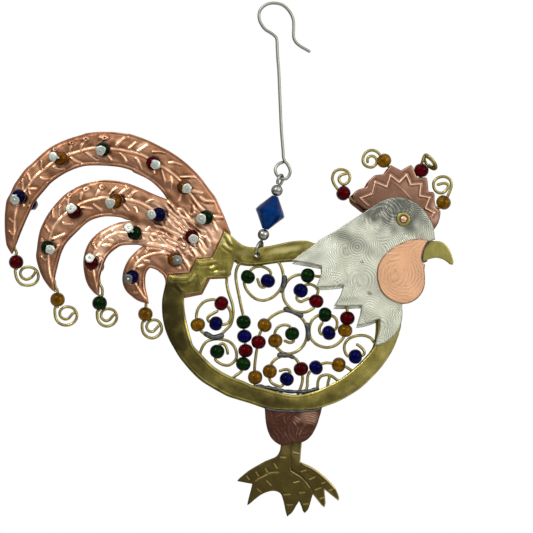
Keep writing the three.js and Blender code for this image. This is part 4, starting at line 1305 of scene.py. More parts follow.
        # Shallow grooves just inside the outer edges, whose low relief also paints a dark band of shade along
        # them.
        ridges += [Ridge(shifted(smooth(stroke(self.strokes[k]), 2.5), 1, 1.5), 0.9, -0.09, 0.1)
                   for k in (0, 8, 10, 12)]
        outline = outline_of(self.strokes)
        if side is Side.FRONT:
            for x, y, wide in ((118, 131, 32), (115, 180, 30)):
                near = (np.abs(outline[:, 0] - x) < wide) & (np.abs(outline[:, 1] - y) < 9)
                near &= (outline[:, 1] < y + 1 + 0.13 * np.abs(outline[:, 0] - x))
                outline[near, 1] += 2.0 * np.cos((outline[near, 0] - x) / wide * math.pi / 2)
        seats = self.pins.holes(-side.value * 0.95)
        # The rear sheet's inner face is painted light, a painted highlight where its edge shows above the
        # front sheet; the front sheet's inner face and the cut edges are painted dark, a painted shade.
        return Sheet(
            "tail", outline, LAYERS.tail, 0.4, holes=[circle(seat, 2.0, 14) for seat in seats], seats=seats,
            ridges=ridges + self.barbs(), dome=0.34, dome_width=9, edge=0.16, edge_width=1.2, rumple=0.07,
            rumple_length=15, crinkle=0.11, crinkle_area=stroke(self.root_area), lights=self.lights,
            flat_inside=BodyRing.outer(), step=1.1, seed=3, relief_gain=2.5, edge_shade=0.22, edge_wear=0.3,
            inner_wear=0.7 if side is Side.REAR else 0.15, stains=self.stains,
        )

    def build(self) -> None:
        """Builds both sheets."""
        for side in Side:
            piece = self.sheet(side).build(side, self.finishes["tail_copper"])
            put(piece, "rooster", "tail_copper", f"tail_plate_{side.label}")


@dataclass
class BodyRing:
    """The brass ring round the scrolls, stepped where it crosses the tail."""

    finishes: Finishes
    hole: Point = (257.4, 254.4)
    hole_radius: float = 2.5
    # Patches of painted shade, darkest down the ring's left side and over its hanging hole.
    stains: tuple[Patch, ...] = (
        (172, 312, 12, 38, -5, 0.98), (194, 358, 12, 26, -38, 0.7), (252, 394, 32, 9, 18, 0.6),
        (290, 404, 26, 6, 4, 0.42), (186, 284, 14, 6, -5, 0.45), (214, 268, 8, 6, 0, 0.35),
        (290, 244, 24, 3, -4, 0.5), (330, 398, 12, 5, -25, 0.45), (232, 246, 8, 8, 0, 0.2),
        (257, 258, 5, 3, 0, 0.9),
    )
    # Patches of painted highlight on the ring.
    lights: tuple[Patch, ...] = (
        (224, 240, 6, 7, 20, 0.2), (287, 249, 22, 3.5, -12, 0.22), (244, 253, 8, 3, 12, 0.12),
        (392, 340, 5, 22, 20, 0.12), (372, 370, 6, 20, 48, 0.1), (345, 393, 14, 4, -25, 0.08),
        (210, 384, 14, 3, 36, 0.14),
    )
    # A raised line along the inside of the ring's lower edge, whose relief also paints a thin bright line of
    # highlight.
    inner_line: str = (
        "183.4,304 184.2,318 186.8,330 189.4,339.5 192,346 200,355.6 205.4,361 212.4,367.4 219.2,372 "
        "226,375.9 234.4,379.6 242.8,382.5 251.3,386.3 264.3,389.8 272,392 283,394.7 292,396.1 301.5,395.8 "
        "312.5,393.4 322,390.1 332,385.6"
    )
    marks: tuple[str, ...] = (
        "195.5,262.8 206,262.4 218.8,260.3", "209,268.9 212,268 216,265.4",
        "169.6,277.3 180,277.6 189.4,277.2", "199.6,285.6 203,282 206.2,277.9", "223,243 228,247.5 233,250.6",
        "188,283 192,279 195,273", "213,273.5 219,272 227,271.6", "176,284 180,288 183,291.4",
        "226,233.6 229.6,240 233,246",
    )

    @staticmethod
    def outer() -> np.ndarray:
        """Gives the ring's outer outline."""
        return outline_of((
            "168.8,274.6", "189.5,273", "196.3,258.8", "212,257.5", "218.3,244.2",
            "224.2,230.8 230,234.5 236.7,240.4 241.7,244.2 246.7,246.3 253.3,247 260,247 270,245.7 280,243.6 "
            "290,241.5 300,240.5 307.4,240.8 312.6,242.4 325,248 345,262 365,276 385,292 398,308 401.3,324 "
            "399.4,332.7 396.5,341.3 392.7,350 386.9,359.6 379.2,369.7 369.6,379.8 360,388.5 350.2,394.9 "
            "340,400.5 330,404.2 319.6,407.7 308,409.5 295,409.8 281.2,409.4 269.6,408.1 263.5,406.2 "
            "251.7,402.1 239.2,398.3 229.2,395 218.3,389.2 203.3,380 193.3,370.8 186.7,363.3 180.8,355.8 "
            "175.8,347.5 170.8,338.5 166.7,328 164.2,317 163.3,306.7 163.5,298.3 164.6,291.7 166.3,284.2 "
            "167.5,278.3",
        ))

    @staticmethod
    def opening() -> np.ndarray:
        """Gives the outline of the space inside the ring."""
        return outline_of((
            "185,294.5", "201.5,292.3", "207.5,277.5", "229.6,276.7",
            "235,259 240,262.5 246.7,263.8 253.3,264.2 260,263.8 270,262.4 280,261 292,260 306,260 325,263 "
            "345,271 360,283 372,300 378,320 375.4,344.2 371.5,351 365.8,357.7 358,365.4 349.4,372.6 "
            "340.8,378.8 331.2,384.1 321.5,388.5 312,391.8 301.3,394.2 292,394.5 283,393 272.5,390.4 "
            "264.8,388 251.7,384.6 243.3,380.8 235,377.9 226.7,374.2 220,370.4 213.3,365.8 206.7,359.6 "
            "201.7,354.2 197.5,350 193.3,345 190.8,337.5 188.3,328.3 185.8,316.7 184.6,308.3 184.2,300",
        ))

    def build(self) -> None:
        """Builds both sheets, whose edges are filed to a slope."""
        ridges = [Ridge(stroke(mark), 1.3, 0.10, 0.2) for mark in self.marks]
        ridges += [Ridge(shifted(stroke(mark), 1, 3.4), 1.2, -0.05, 0.2) for mark in self.marks]
        ridges.append(Ridge(stroke(self.inner_line), 0.5, 0.12, 0.1))
        # The cut edges take a slightly bright painted tone, a painted highlight along the rims, and the inner
        # face a dark one, painted shade where the slipped rear sheet shows.
        sheet = Sheet("ring", self.outer(), LAYERS.ring, ridges=ridges,
                      holes=[self.opening(), circle(self.hole, self.hole_radius)], edge=0.24, edge_width=5.0,
                      rumple=0.05, rumple_length=30, step=1.6, seed=11, stains=self.stains,
                      lights=self.lights, edge_wear=0.6, inner_wear=0.3)
        for side, slip in ((Side.FRONT, LEVEL), (Side.REAR, RING_SLIP)):
            put(sheet.build(side, self.finishes["ring_brass"], slip), "rooster", "ring_brass",
                f"body_ring_{side.label}")


@dataclass
class Head:
    """The silver head, its wattle, beak, comb and eye."""

    finishes: Finishes
    eye: Point = (403.3, 219.2)
    head: tuple[str, ...] = (
        "291.9,260.4 300,254.6 310,247.3 320,239.6 330,233.8 340,227.7 350,221.2 360,214.6 370,208.3 380,202 "
        "385,199.6 390,198.1 400,197.3 406.9,198.8 413,201.5 417.7,204.6 423,209.6 426.9,214.6 430,220 "
        "432.3,224.6 433.5,229.2 434.6,236.2", "435,239.6", "425.5,242.5 420,255 413,280",
        "401.8,304.8 402.5,311.5 402.3,316.3 401.3,322.1 399.4,327.9 395.6,333.7 390.8,338.5 385,342.3 "
        "379.2,344.7", "374.9,345.2 376.8,337.5 378.8,330.8 379.7,325",
        "379.7,318.5 370.6,322 363.8,324", "356.8,325 358.6,319.2 360.5,312.5", "361.4,305.3 347,305.8",
        "333.8,305.8 336.9,300.8 340,295.4 341.9,290", "343.5,284.8 330,286.5",
        "315.8,286.8 318.5,280.8 320,277 321.2,271.5", "321.2,265.8 310,263.5 300.8,261.9",
    )
    wattle: tuple[str, ...] = (
        "428,240.2 423.8,238.8 416.2,238.8 410,239.6 403.8,241.9 396.9,245 390,249.6 384.6,254.6 380.8,259.6 "
        "378,265.4 376.9,271.5 376.9,277.7 378,283 380,289.2 383.8,294.6 388.5,298.8 394.6,301.9 400.8,303.5 "
        "406.2,303.5 413,301.2 417.7,297.7 421.5,293 423.8,287.7 424.8,282.3 424.6,274.6 424.2,269.2",
        "425,264.6 423,263 421.2,260 421.5,256.9 423,250.8 425.4,245.4",
    )
    beak: tuple[str, ...] = (
        "428.5,241.4 435.4,240.8 440,241.2 443.8,243 447.7,246.9 450.4,251.5 452.3,256.9 453.5,261.5",
        "452.9,264.6",
        "450.8,264.2 447.7,261.5 443.8,259.2 440,258 436.2,257.7 431.5,258.5 427.7,259.6 424,261.5",
        "416,266 414,256 419,246",
    )
    comb: tuple[str, ...] = (
        "375,214.5 367.2,210.4 363.6,208.2 359.1,204.6 354.6,201 352.8,198.3 352.8,194.7 354.6,192 "
        "358.2,189.4 362.7,188 366.3,186.7 368.1,183.1 370.8,178.6 374.4,175.4 378.8,174.4 383.3,173.9 "
        "386,171.4 388.3,168.3",
        "391,164.7 395.9,167.4", "401.3,170.1 406.7,166.9", "411.2,164.7 412.9,166.5 414.7,170.5",
        "417.4,177.2", "426.4,177.2 427.3,178.6 428.2,184.9", "428.7,191.2",
        "433.6,192 434.7,193.8 434.9,201", "436.3,206.9",
        "440.8,210.9 440.3,216.3 438.5,222.6 436.3,226.6 433.6,230 426,236 410,236 392,226",
    )
    beak_solder: str = "429.6,241.9 426.2,245.4 423.8,250 422.7,255.4 422.4,259.4 423.6,262.2 426.5,260.8"
    # Patches of painted shade on the head, darkest over the crown.
    head_stains: tuple[Patch, ...] = (
        (386, 209, 32, 12, -14, 0.98), (415, 212, 15, 22, 35, 0.7), (357, 243, 30, 6, 30, 0.5),
        (341, 236, 10, 5, 10, 0.3), (404, 230, 26, 14, 10, 0.35), (362, 262, 1.6, 1.3, 0, 0.7),
        (369, 293, 2.4, 1.5, 30, 0.8), (348, 301, 14, 4, -6, 0.4), (312, 259, 12, 3, -30, 0.25),
        (376, 280, 6, 14, 10, 0.12), (366, 312, 12, 4, 20, 0.2), (392, 322, 8, 12, 10, 0.15),
        (395, 302, 14, 5, 30, 0.12),
    )
    # Patches of painted highlight on the head.
    head_lights: tuple[Patch, ...] = (
        (325, 256, 14, 12, -30, 0.5), (335, 284, 12, 6, 0, 0.35), (352, 268, 6, 5, 0, 0.3),
    )
    comb_ridge: str = (
        "369.4,206.4 360.5,198 372.1,193.8 375.3,181.7 386.9,186.7 390.5,175 399.5,182.2 406.7,174.5 "
        "410.5,184.5 421,183.5 419.7,195.6 430,197.4 425.5,208.2 434,212.7 430.4,219.4"
    )

    def build(self) -> None:
        """Builds the sheets of both faces and the eye."""
        rivet_hole = circle(self.eye, 2.6, 16)
        # The head's cut edge is painted dark, a painted shade line, and its inner face light, a painted
        # highlight where the slipped rear sheet shows.
        head = Sheet("head", outline_of(self.head), LAYERS.head, holes=[rivet_hole], edge=0.05,
                     edge_width=1.4, edge_wear=0.12, rumple=0.06, rumple_length=52, step=1.6, seed=21,
                     inner_wear=0.6, stains=self.head_stains, lights=self.head_lights)
        # The wattle's cut edge is painted darkest, a painted shadow in the gap round it.
        wattle = Sheet("wattle", outline_of(self.wattle), LAYERS.top, edge=0.06, edge_width=1.5,
                       edge_wear=0.0, rumple=0.03, rumple_length=40, step=1.5, seed=23)
        beak = Sheet("beak", outline_of(self.beak), LAYERS.ring, edge=0.08, edge_width=1.2, step=1.3, seed=25)
        ridge = stroke(self.comb_ridge)
        # The comb has patches of painted shade and of painted highlight, and its inner face, where the
        # slipped rear sheet shows, is painted dark, a painted shade.
        comb = Sheet("comb", outline_of(self.comb), LAYERS.inner, holes=[rivet_hole],
                     ridges=[Ridge(ridge, 0.85, 0.3, 0.02, smooth_line=False),
                             Ridge(stroke("395,183 404,191 412,200"), 0.5, 0.06, 0.1)], edge=0.2,
                     edge_width=1.5, dome=0.08, dome_width=7, rumple=0.04, rumple_length=30, step=1.2,
                     seed=27, inner_wear=0.25, stains=((362, 203, 12, 9, 30, 0.45), (430, 222, 8, 9, 0, 0.3)),
                     lights=((412, 190, 16, 9, 30, 0.08), (434, 214, 5, 9, 0, 0.22),
                             (390, 192, 14, 6, -20, 0.05)))
        plates = (
            (head, "head_silver", HEAD_SLIP, "silver", "head_plate"),
            (wattle, "wattle_copper", LEVEL, "light_copper", "wattle"),
            (beak, "beak_brass", LEVEL, "ring_brass", "beak"),
            (comb, "comb_copper", COMB_SLIP, "comb_copper", "comb"),
        )
        for side in Side:
            for sheet, finish, slip, slot, node in plates:
                piece = sheet.build(side, self.finishes[finish], slip if side is Side.REAR else LEVEL)
                put(piece, "rooster", slot, f"{node}_{side.label}")
        self.build_solder()
        self.build_eye()

    def build_solder(self) -> None:
        """Builds the thin lines of solder along the beak's inner curve, on both faces."""
        for side in Side:
            piece = solder_line(f"beak_{side.label}_solder", self.beak_solder,
                                side.value * (LAYERS.top + 0.1), 0.17, 0.05, 1.6, 71, self.finishes["solder"])
            put(piece, "rooster", "ring_brass", f"beak_{side.label}")

    def build_eye(self) -> None:
        """Builds the two washers and the domed rivet through all the sheets."""
        x, z = DRAWING.place(np.array([self.eye]))[0]
        seat = LAYERS.top
        for side in Side:
            profile = [(0.72, 0.02), (1.75, 0.0), (1.92, 0.06), (1.97, 0.2), (1.93, 0.36), (1.8, 0.45),
                       (1.55, 0.5), (1.2, 0.5), (0.9, 0.48), (0.76, 0.42)]
            points, faces = lathe(profile, np.array([x, side.value * seat * MM, z]),
                                  np.array([0.0, side.value, 0.0]), 40)
            # Painted shade at the washer's outer and inner rims, and a painted highlight on its top.
            wear_and_light = np.repeat([0.1, 0.2, 0.0, 0.0, 0.1, 0.45, 0.7, 0.45, 0.0, 0.0], 40)
            put(mesh_object(f"eye_{side.label}_washer", points, faces, self.finishes["washer_brass"], wear_and_light),
                "rooster", "ring_brass", f"eye_washer_{side.label}")
        top = seat + 0.5
        half = [(0.55, top - 0.02), (0.75, top), (0.9, top + 0.04), (0.96, top + 0.12), (0.93, top + 0.25),
                (0.84, top + 0.4), (0.67, top + 0.52), (0.45, top + 0.6), (0.22, top + 0.64),
                (0.0, top + 0.65)]
        profile = [(r, -h) for r, h in reversed(half)] + half
        points, faces = lathe(profile, np.array([x, 0.0, z]), np.array([0.0, 1.0, 0.0]), 36, closed=False)
        put(mesh_object("eye_domed_rivet", points, faces, self.finishes["rivet_copper"]), "rooster",
            "light_copper", "eye_rivet")


@dataclass
class Legs:
    """The copper thigh, and the two brass feet, the left one in front."""

    finishes: Finishes
    thigh: tuple[str, ...] = (
        "264.3,404 265,411.9 265.4,418 266.2,424.2 267.7,430.4 270.4,436.5 274.2,441.2 278,443.8 280.4,445 "
        "284.2,445.4 288,444.2 291.9,442.3 295.8,442.3 300.4,442.8 304.2,441.5 308,439.2 311.9,435 315,429.6 "
        "317.7,423.5 319.6,417.3 321.2,411.9", "322.2,404 311,400 290,402 275,400",
    )
    thigh_arcs: tuple[str, ...] = (
        "302.3,413.6 310,414 318,416.4", "302.9,417.9 310,418.6 317.9,421.4", "303,415.8 310,416.2 318,418.8",
        "304,420.2 311,421 317,423.8", "305,422.6 311,423.4 316.4,425.9", "303,411.6 311,411.8 319,413.8",
        "293.6,416.4 297,418 300.7,421", "292.1,420.7 294.6,423 296.4,426.4",
        "293,418.6 296.4,420.4 299.4,423.6", "299.3,426.4 297,432 296.4,437.9", "283.6,432 286.4,436.4",
        "303,428 300,433 299,438", "273,420 280,415 288,413", "285,414 284,420 287,425",
    )
    thigh_solder: str = "265.6,408.2 275,410.2 290,411 305,410.8 315,410 321.4,408"
    left: tuple[str, ...] = (
        "280.8,430", "280.8,445.4 280.4,448.8 279.2,452.7 276.5,456.5 271.9,458.8 265.8,461.2 259.6,464.6 "
                     "253.5,468 248,471.5 242.7,475.8 238.8,479.2", "237.3,481.4 245.8,483",
                     "252.3,484.2 250.8,490.4 249.2,496.5 247.7,502.7",
        "247.2,505.6 249.6,504.2 255,499.6 261.2,495 267.3,492.3 272.7,491.2 277.3,491.9 280.8,494.2 "
        "282.7,498.8 284.2,504.2 285.4,510.4", "287.2,517 292.2,512.7 296.3,506.1",
        "299.2,501.5 301.3,506.1 303.4,511.9",
        "305,513.3 307.9,510.2 309.6,506.1 311.7,498.6 312.9,494.9 313.3,492.8 311.3,487.8 307.1,482 "
        "300.5,475.4",
        "291.4,469.6 291.1,455", "290.9,430",
    )
    right: tuple[str, ...] = (
        "302.3,430", "302.1,443.1 301.3,451.4", "300.5,462.1 303.8,463.8 309.6,466.3 317.1,470.8 323.7,476.2 "
                                                "329.5,481.6 334.5,487 337.8,492.8 339.5,498.6",
                                                "338.6,501.3 332,496.1", "324.9,490.3 325.4,497 325.8,504.4",
        "324.5,508 322,506.1 317.9,501.1 313.3,495.3 305,486 296,476", "289.6,472", "289.6,430",
    )
    left_rim: str = "289.6,467.6 291.4,471.2 295.6,474 300,476.6 304.4,480.6 308,485 311,489.6"
    right_rim: str = "301.4,463.9 306,466.3 311,468.4 317,472.2 323,477 329,482.6 333.6,487.6 336.4,492"
    left_lines: tuple[str, ...] = (
        "245.8,475.8 249.5,480.8", "255.3,471.7 259,477.5", "264.8,468.4 268.1,473.7",
        "273.5,463.4 277.3,469.2", "253.6,483.7 258.4,479.6 263.2,477.1 271.5,473.3 280.6,472.9",
        "266.1,480.8 271.5,486.6", "256.5,488.7 261.9,493.6", "283.1,495.3 290.9,494.9",
        "286.4,505.7 293.8,505.1", "293,483.3 300.1,481.6", "298.8,493.6 305.5,492.8",
        "302.6,504.8 309.6,504.3", "279.8,457.6 286.4,458",
    )
    right_lines: tuple[str, ...] = (
        "300.5,472.9 307.1,470.8", "309.2,480.8 315.8,477.5", "321.2,484.5 327.8,482.5",
        "329.1,491.6 334.1,489.9", "314.6,491.2 322,488.3", "319.6,500.3 324.9,497.8",
        "292.6,452.6 299.7,454.3",
    )

    def build(self) -> None:
        """Builds the thighs on both faces and the two feet."""
        # The thigh has patches of painted highlight at its upper right and of painted shade at its left.
        thigh = Sheet("thigh", outline_of(self.thigh), LAYERS.inner, edge=0.2, edge_width=1.4,
                      ridges=[Ridge(stroke(arc), 0.4, 0.05 + 0.012 * (k % 4), 0.3)
                              for k, arc in enumerate(self.thigh_arcs)], rumple=0.05, rumple_length=26,
                      step=1.2, seed=31, relief_gain=4.0,
                      lights=((309, 417, 10, 7, 15, 0.26), (298, 420, 4, 5, 30, 0.14)),
                      stains=((276, 428, 8, 14, -15, 0.3),))
        for side in Side:
            put(thigh.build(side, self.finishes["thigh_copper"]), "rooster", "dark_copper",
                f"thigh_{side.label}")
            piece = solder_line(f"thigh_{side.label}_solder", self.thigh_solder,
                                side.value * (LAYERS.ring + 0.08), 0.24, 0.07, 2.2, 81,
                                self.finishes["solder"])
            put(piece, "rooster", "dark_copper", f"thigh_{side.label}")
        for name, outline, lines, rim, side in (
                ("left", self.left, self.left_lines, self.left_rim, Side.FRONT),
                ("right", self.right, self.right_lines, self.right_rim, Side.REAR)):
            facing = -side.value
            ridges = [Ridge(stroke(line), 0.6, facing * 0.14, 0.12) for line in lines]
            # The rim is raised, and its relief also paints a bright line of highlight along it.
            ridges.append(Ridge(stroke(rim), 0.8, facing * 0.26, 0.1))
            # Each foot gets patches of painted shade on the toes and of painted highlight near the legs,
            # turned to the face that shows, and a dark painted outline at its cut edge.
            foot = Sheet(f"{name}_foot", outline_of(outline), LAYERS.foot, ridges=ridges, edge=0.18,
                         edge_width=1.3, rumple=0.03, rumple_length=24, step=1.2, seed=33, edge_wear=0.2,
                         inner_gain=1.0, inner_wear=0.5,
                         stains=((252, 477, 13, 7, -25, 0.3), (262, 490, 12, 6, -20, 0.25),
                                 (285, 506, 6, 8, 0, 0.2)),
                         lights=((285, 450, 5, 8, 0, facing * 0.12), (297, 454, 5, 12, 0, facing * 0.14),
                                 (294, 484, 8, 6, 0, facing * 0.06)))
            put(foot.build(side, self.finishes["foot_brass"], name=f"{name}_foot_sheet"), "rooster",
                "old_brass", f"{name}_foot")


@dataclass
class Strand:
    """A wire with beads on it.

    The text lists drawing points, and a point that starts with a colour's letter is a bead's middle.
    """

    text: str
    radius: float = 0.4
    bead: BeadShape = field(default_factory=BeadShape)

    def read(self) -> tuple[np.ndarray, list[tuple[int, Bead]]]:
        """Gives the points, and the row and colour of each bead."""
        rows, beads = [], []
        for word in self.text.split():
            if word[0] in BEAD_LETTERS:
                beads.append((len(rows), BEAD_LETTERS[word[0]]))
                word = word[1:]
            rows.append([float(v) for v in word.split(",")])
        return np.array(rows), beads

    def line(self, sway: float, seed: int) -> np.ndarray:
        """Gives the wire's smooth middle line in metres, which sways a little to the front and rear."""
        path = smooth(lifted(DRAWING.place(self.read()[0]), 0.0), 0.26 * MM)
        return path + np.array([0, 1, 0]) * (waves(path / MM, 9, seed) * sway * MM)[:, None]

    def beads(self, line: np.ndarray) -> list[tuple[np.ndarray, np.ndarray, Bead]]:
        """Gives each bead's middle, the direction of its bore, and its colour."""
        rows, marks = self.read()
        made = []
        for row, colour in marks:
            place = DRAWING.place(rows[row : row + 1])[0]
            k = int(np.argmin(np.hypot(line[:, 0] - place[0], line[:, 2] - place[1])))
            k = min(max(k, 5), len(line) - 6)
            way = line[k + 5] - line[k - 5]
            made.append((line[k], way / np.linalg.norm(way), colour))
        return made


@dataclass
class TailPins:
    """Fifteen pins through the tail, each with a glass bead and a beaten flat head on both sides.

    A row of `pins` holds the front bead's x and z and the pin's lean in x and z, all in millimetres, the
    letter of its glass, and the front head's place on the drawing. `dull` numbers the tarnished pins.
    """

    finishes: Finishes
    stand: float = 3.4
    reach: float = 2.7
    wire: float = 0.4
    past_bead: float = 1.5
    pins: tuple[tuple[float, float, float, float, str, float, float], ...] = (
        (-68.6, -52.0, -0.8, 0.55, "b", 14.6, 199.6), (-57.3, -41.8, -0.5, 0.15, "a", 52.9, 156.4),
        (-45.9, -39.3, -0.4, -0.1, "g", 100.4, 150.4), (-32.3, -43.0, 0.4, -0.3, "r", 155.4, 164.4),
        (-24.0, -49.5, 0.6, -0.3, "a", 186.9, 188.5), (-18.2, -57.6, -0.6, -0.1, "g", 201.2, 218.5),
        (-60.8, -65.7, 0.4, -0.6, "g", 50.0, 249.4), (-53.6, -56.1, -0.35, 0.3, "r", 71.2, 208.1),
        (-42.5, -53.2, -1.2, -0.4, "a", 110.0, 203.0), (-30.9, -56.9, -1.3, 0.1, "b", 151.5, 214.2),
        (-22.0, -62.9, 0.3, -0.6, "r", 193.5, 239.2), (-49.0, -69.8, -0.35, 0.35, "r", 89.8, 257.5),
        (-37.4, -61.8, -0.6, 0.5, "g", 128.6, 227.5), (-38.1, -73.6, -0.3, -0.15, "b", 128.2, 278.8),
        (-26.5, -69.0, 0.6, -0.1, "a", 177.7, 260.0),
    )
    dull: tuple[int, ...] = (14, 15)

    def axis(self, pin: tuple) -> tuple[np.ndarray, np.ndarray]:
        """Gives where a pin crosses the middle of the tail, in metres, and its direction to the front."""
        x, z, dx, dz = pin[:4]
        way = np.array([dx, -math.sqrt(self.reach**2 - dx**2 - dz**2), dz]) / self.reach
        front = np.array([x, -self.stand, z])
        return (front - way * self.stand / abs(way[1])) * MM + HUNG, way

    def holes(self, level: float) -> np.ndarray:
        """Gives where the pins cross a level, in millimetres to the front, as drawing points."""
        made = []
        for pin in self.pins:
            middle, way = self.axis(pin)
            at = middle - HUNG + way * (level / abs(way[1])) * MM
            made.append((at[0] / DRAWING.unit + DRAWING.origin[0], DRAWING.origin[1] - at[2] / DRAWING.unit))
        return np.array(made)

    def head(self, centre: np.ndarray, way: np.ndarray, seed: int) -> tuple[np.ndarray, list, np.ndarray]:
        """Builds one beaten head, with an uneven edge, and gives its relief too, falling to painted shade at
        the rim.
        """
        rng = np.random.default_rng(seed)
        radius = rng.uniform(1.26, 1.42)
        profile = [(0.0, -0.22), (0.5, -0.2), (radius * 0.75, -0.14), (radius * 0.95, -0.09), (radius, 0.0),
                   (radius * 0.95, 0.1), (radius * 0.8, 0.15), (0.6, 0.16), (0.3, 0.16), (0.0, 0.16)]
        points, faces = lathe(profile, centre, way, 40, closed=False)
        side = points - centre
        side -= (side @ way)[:, None] * way
        away = np.linalg.norm(side, axis=1) / (radius * MM)
        wave = waves(side / MM, 1.9, seed + 3, 12)
        points = points + side * (0.10 * wave * away)[:, None]
        tilt = waves(points / MM, 3.0, seed + 9, 12) * 0.03 * MM
        return points + way * tilt[:, None], faces, 0.5 * ease((1.02 - away) / 0.14)

    def front_head(self, pin: tuple, along: float) -> np.ndarray:
        """Gives where the bent front end holds its head, in metres."""
        depth = (along + self.reach) * 0.97
        place = DRAWING.toward(np.array([pin[5:7]]), depth)[0]
        return np.array([place[0], -depth * MM, place[1]])

    def build(self) -> None:
        """Builds the wire, the heads and the beads of every pin."""
        shape = BeadShape(bore=0.9)
        for i, pin in enumerate(self.pins):
            node = f"tail_pin_{i + 1:02d}"
            middle, way = self.axis(pin)
            along = self.stand / abs(way[1])
            out = self.front_head(pin, self.stand)
            bead_end = middle + way * (along + self.past_bead) * MM
            steps = np.array([-(along + self.reach), -along, 0.0, along])[:, None] * MM
            path = np.vstack([middle + way * steps, bead_end, out])
            wire = mesh_object(f"{node}_wire", *tube(smooth(path, 0.3 * MM), self.wire * MM),
                               self.finishes["pin_silver"])
            put(wire, node, "silver", node)
            metal = self.finishes["pin_tarnished" if i + 1 in self.dull else "pin_silver"]
            glass = BEAD_LETTERS[pin[4]]
            bent = out - bead_end
            facing = bent / np.linalg.norm(bent) * 0.35 + np.array([0.0, -1.0, 0.0])
            facing /= np.linalg.norm(facing)
            rear = middle - way * (along + self.reach) * MM
            for label, end, normal, seed in (("front", out, facing, i * 2), ("rear", rear, -way, i * 2 + 1)):
                points, faces, wear_and_light = self.head(end, normal, seed)
                put(mesh_object(f"{node}_{label}_head", points, faces, metal, wear_and_light), node, "silver", node)
                sign = 1 if label == "front" else -1
                centre = middle + way * sign * along * MM
                # Except for red, the pins' beads use the darker copies of the glass, painted shade.
                finish = self.finishes[glass.value if glass is Bead.RED else f"pin_{glass.value}"]
                put(mesh_object(f"{node}_{label}_bead", *shape.mesh(centre, way, seed), finish), node,
                    glass.value, node)


@dataclass
class Curl:
    """A curl of wire with one loose bead.

    The bead's place is in millimetres and its way in degrees, as in the solids.
    """

    node: str
    text: str
    bead: Point
    way: float
    colour: Bead
    radius: float = 0.39
    straight: float = 1.9

    def build(self, finishes: Finishes, depth: np.ndarray | float) -> None:
        """Builds the wire, whose points stand so many millimetres to the rear, and its bead."""
        rows, beads = Strand(self.text).read()
        points = lifted(DRAWING.place(rows), depth * MM)
        middle = np.array([self.bead[0], 0.0, self.bead[1]]) * MM + HUNG
        run = np.array([math.cos(math.radians(self.way)), 0.0, math.sin(math.radians(self.way))])
        k = beads[0][0]
        straight = middle + run * (np.array([-self.straight, 0.0, self.straight]) * MM)[:, None]
        path = smooth(np.vstack([points[:k], straight, points[k + 1 :]]), 0.24 * MM)
        put(mesh_object(f"{self.node}_wire", *tube(path, self.radius * MM), finishes["wire_brass"]),
            "rooster", "wire_brass", self.node)
        name = self.node.replace("curl_", "curl_bead_")
        shape = BeadShape(bore=1.1)
        put(mesh_object(f"{name}_glass", *shape.mesh(middle, run, int(self.way) % 97),
                        finishes[self.colour.value]), name, self.colour.value, name)


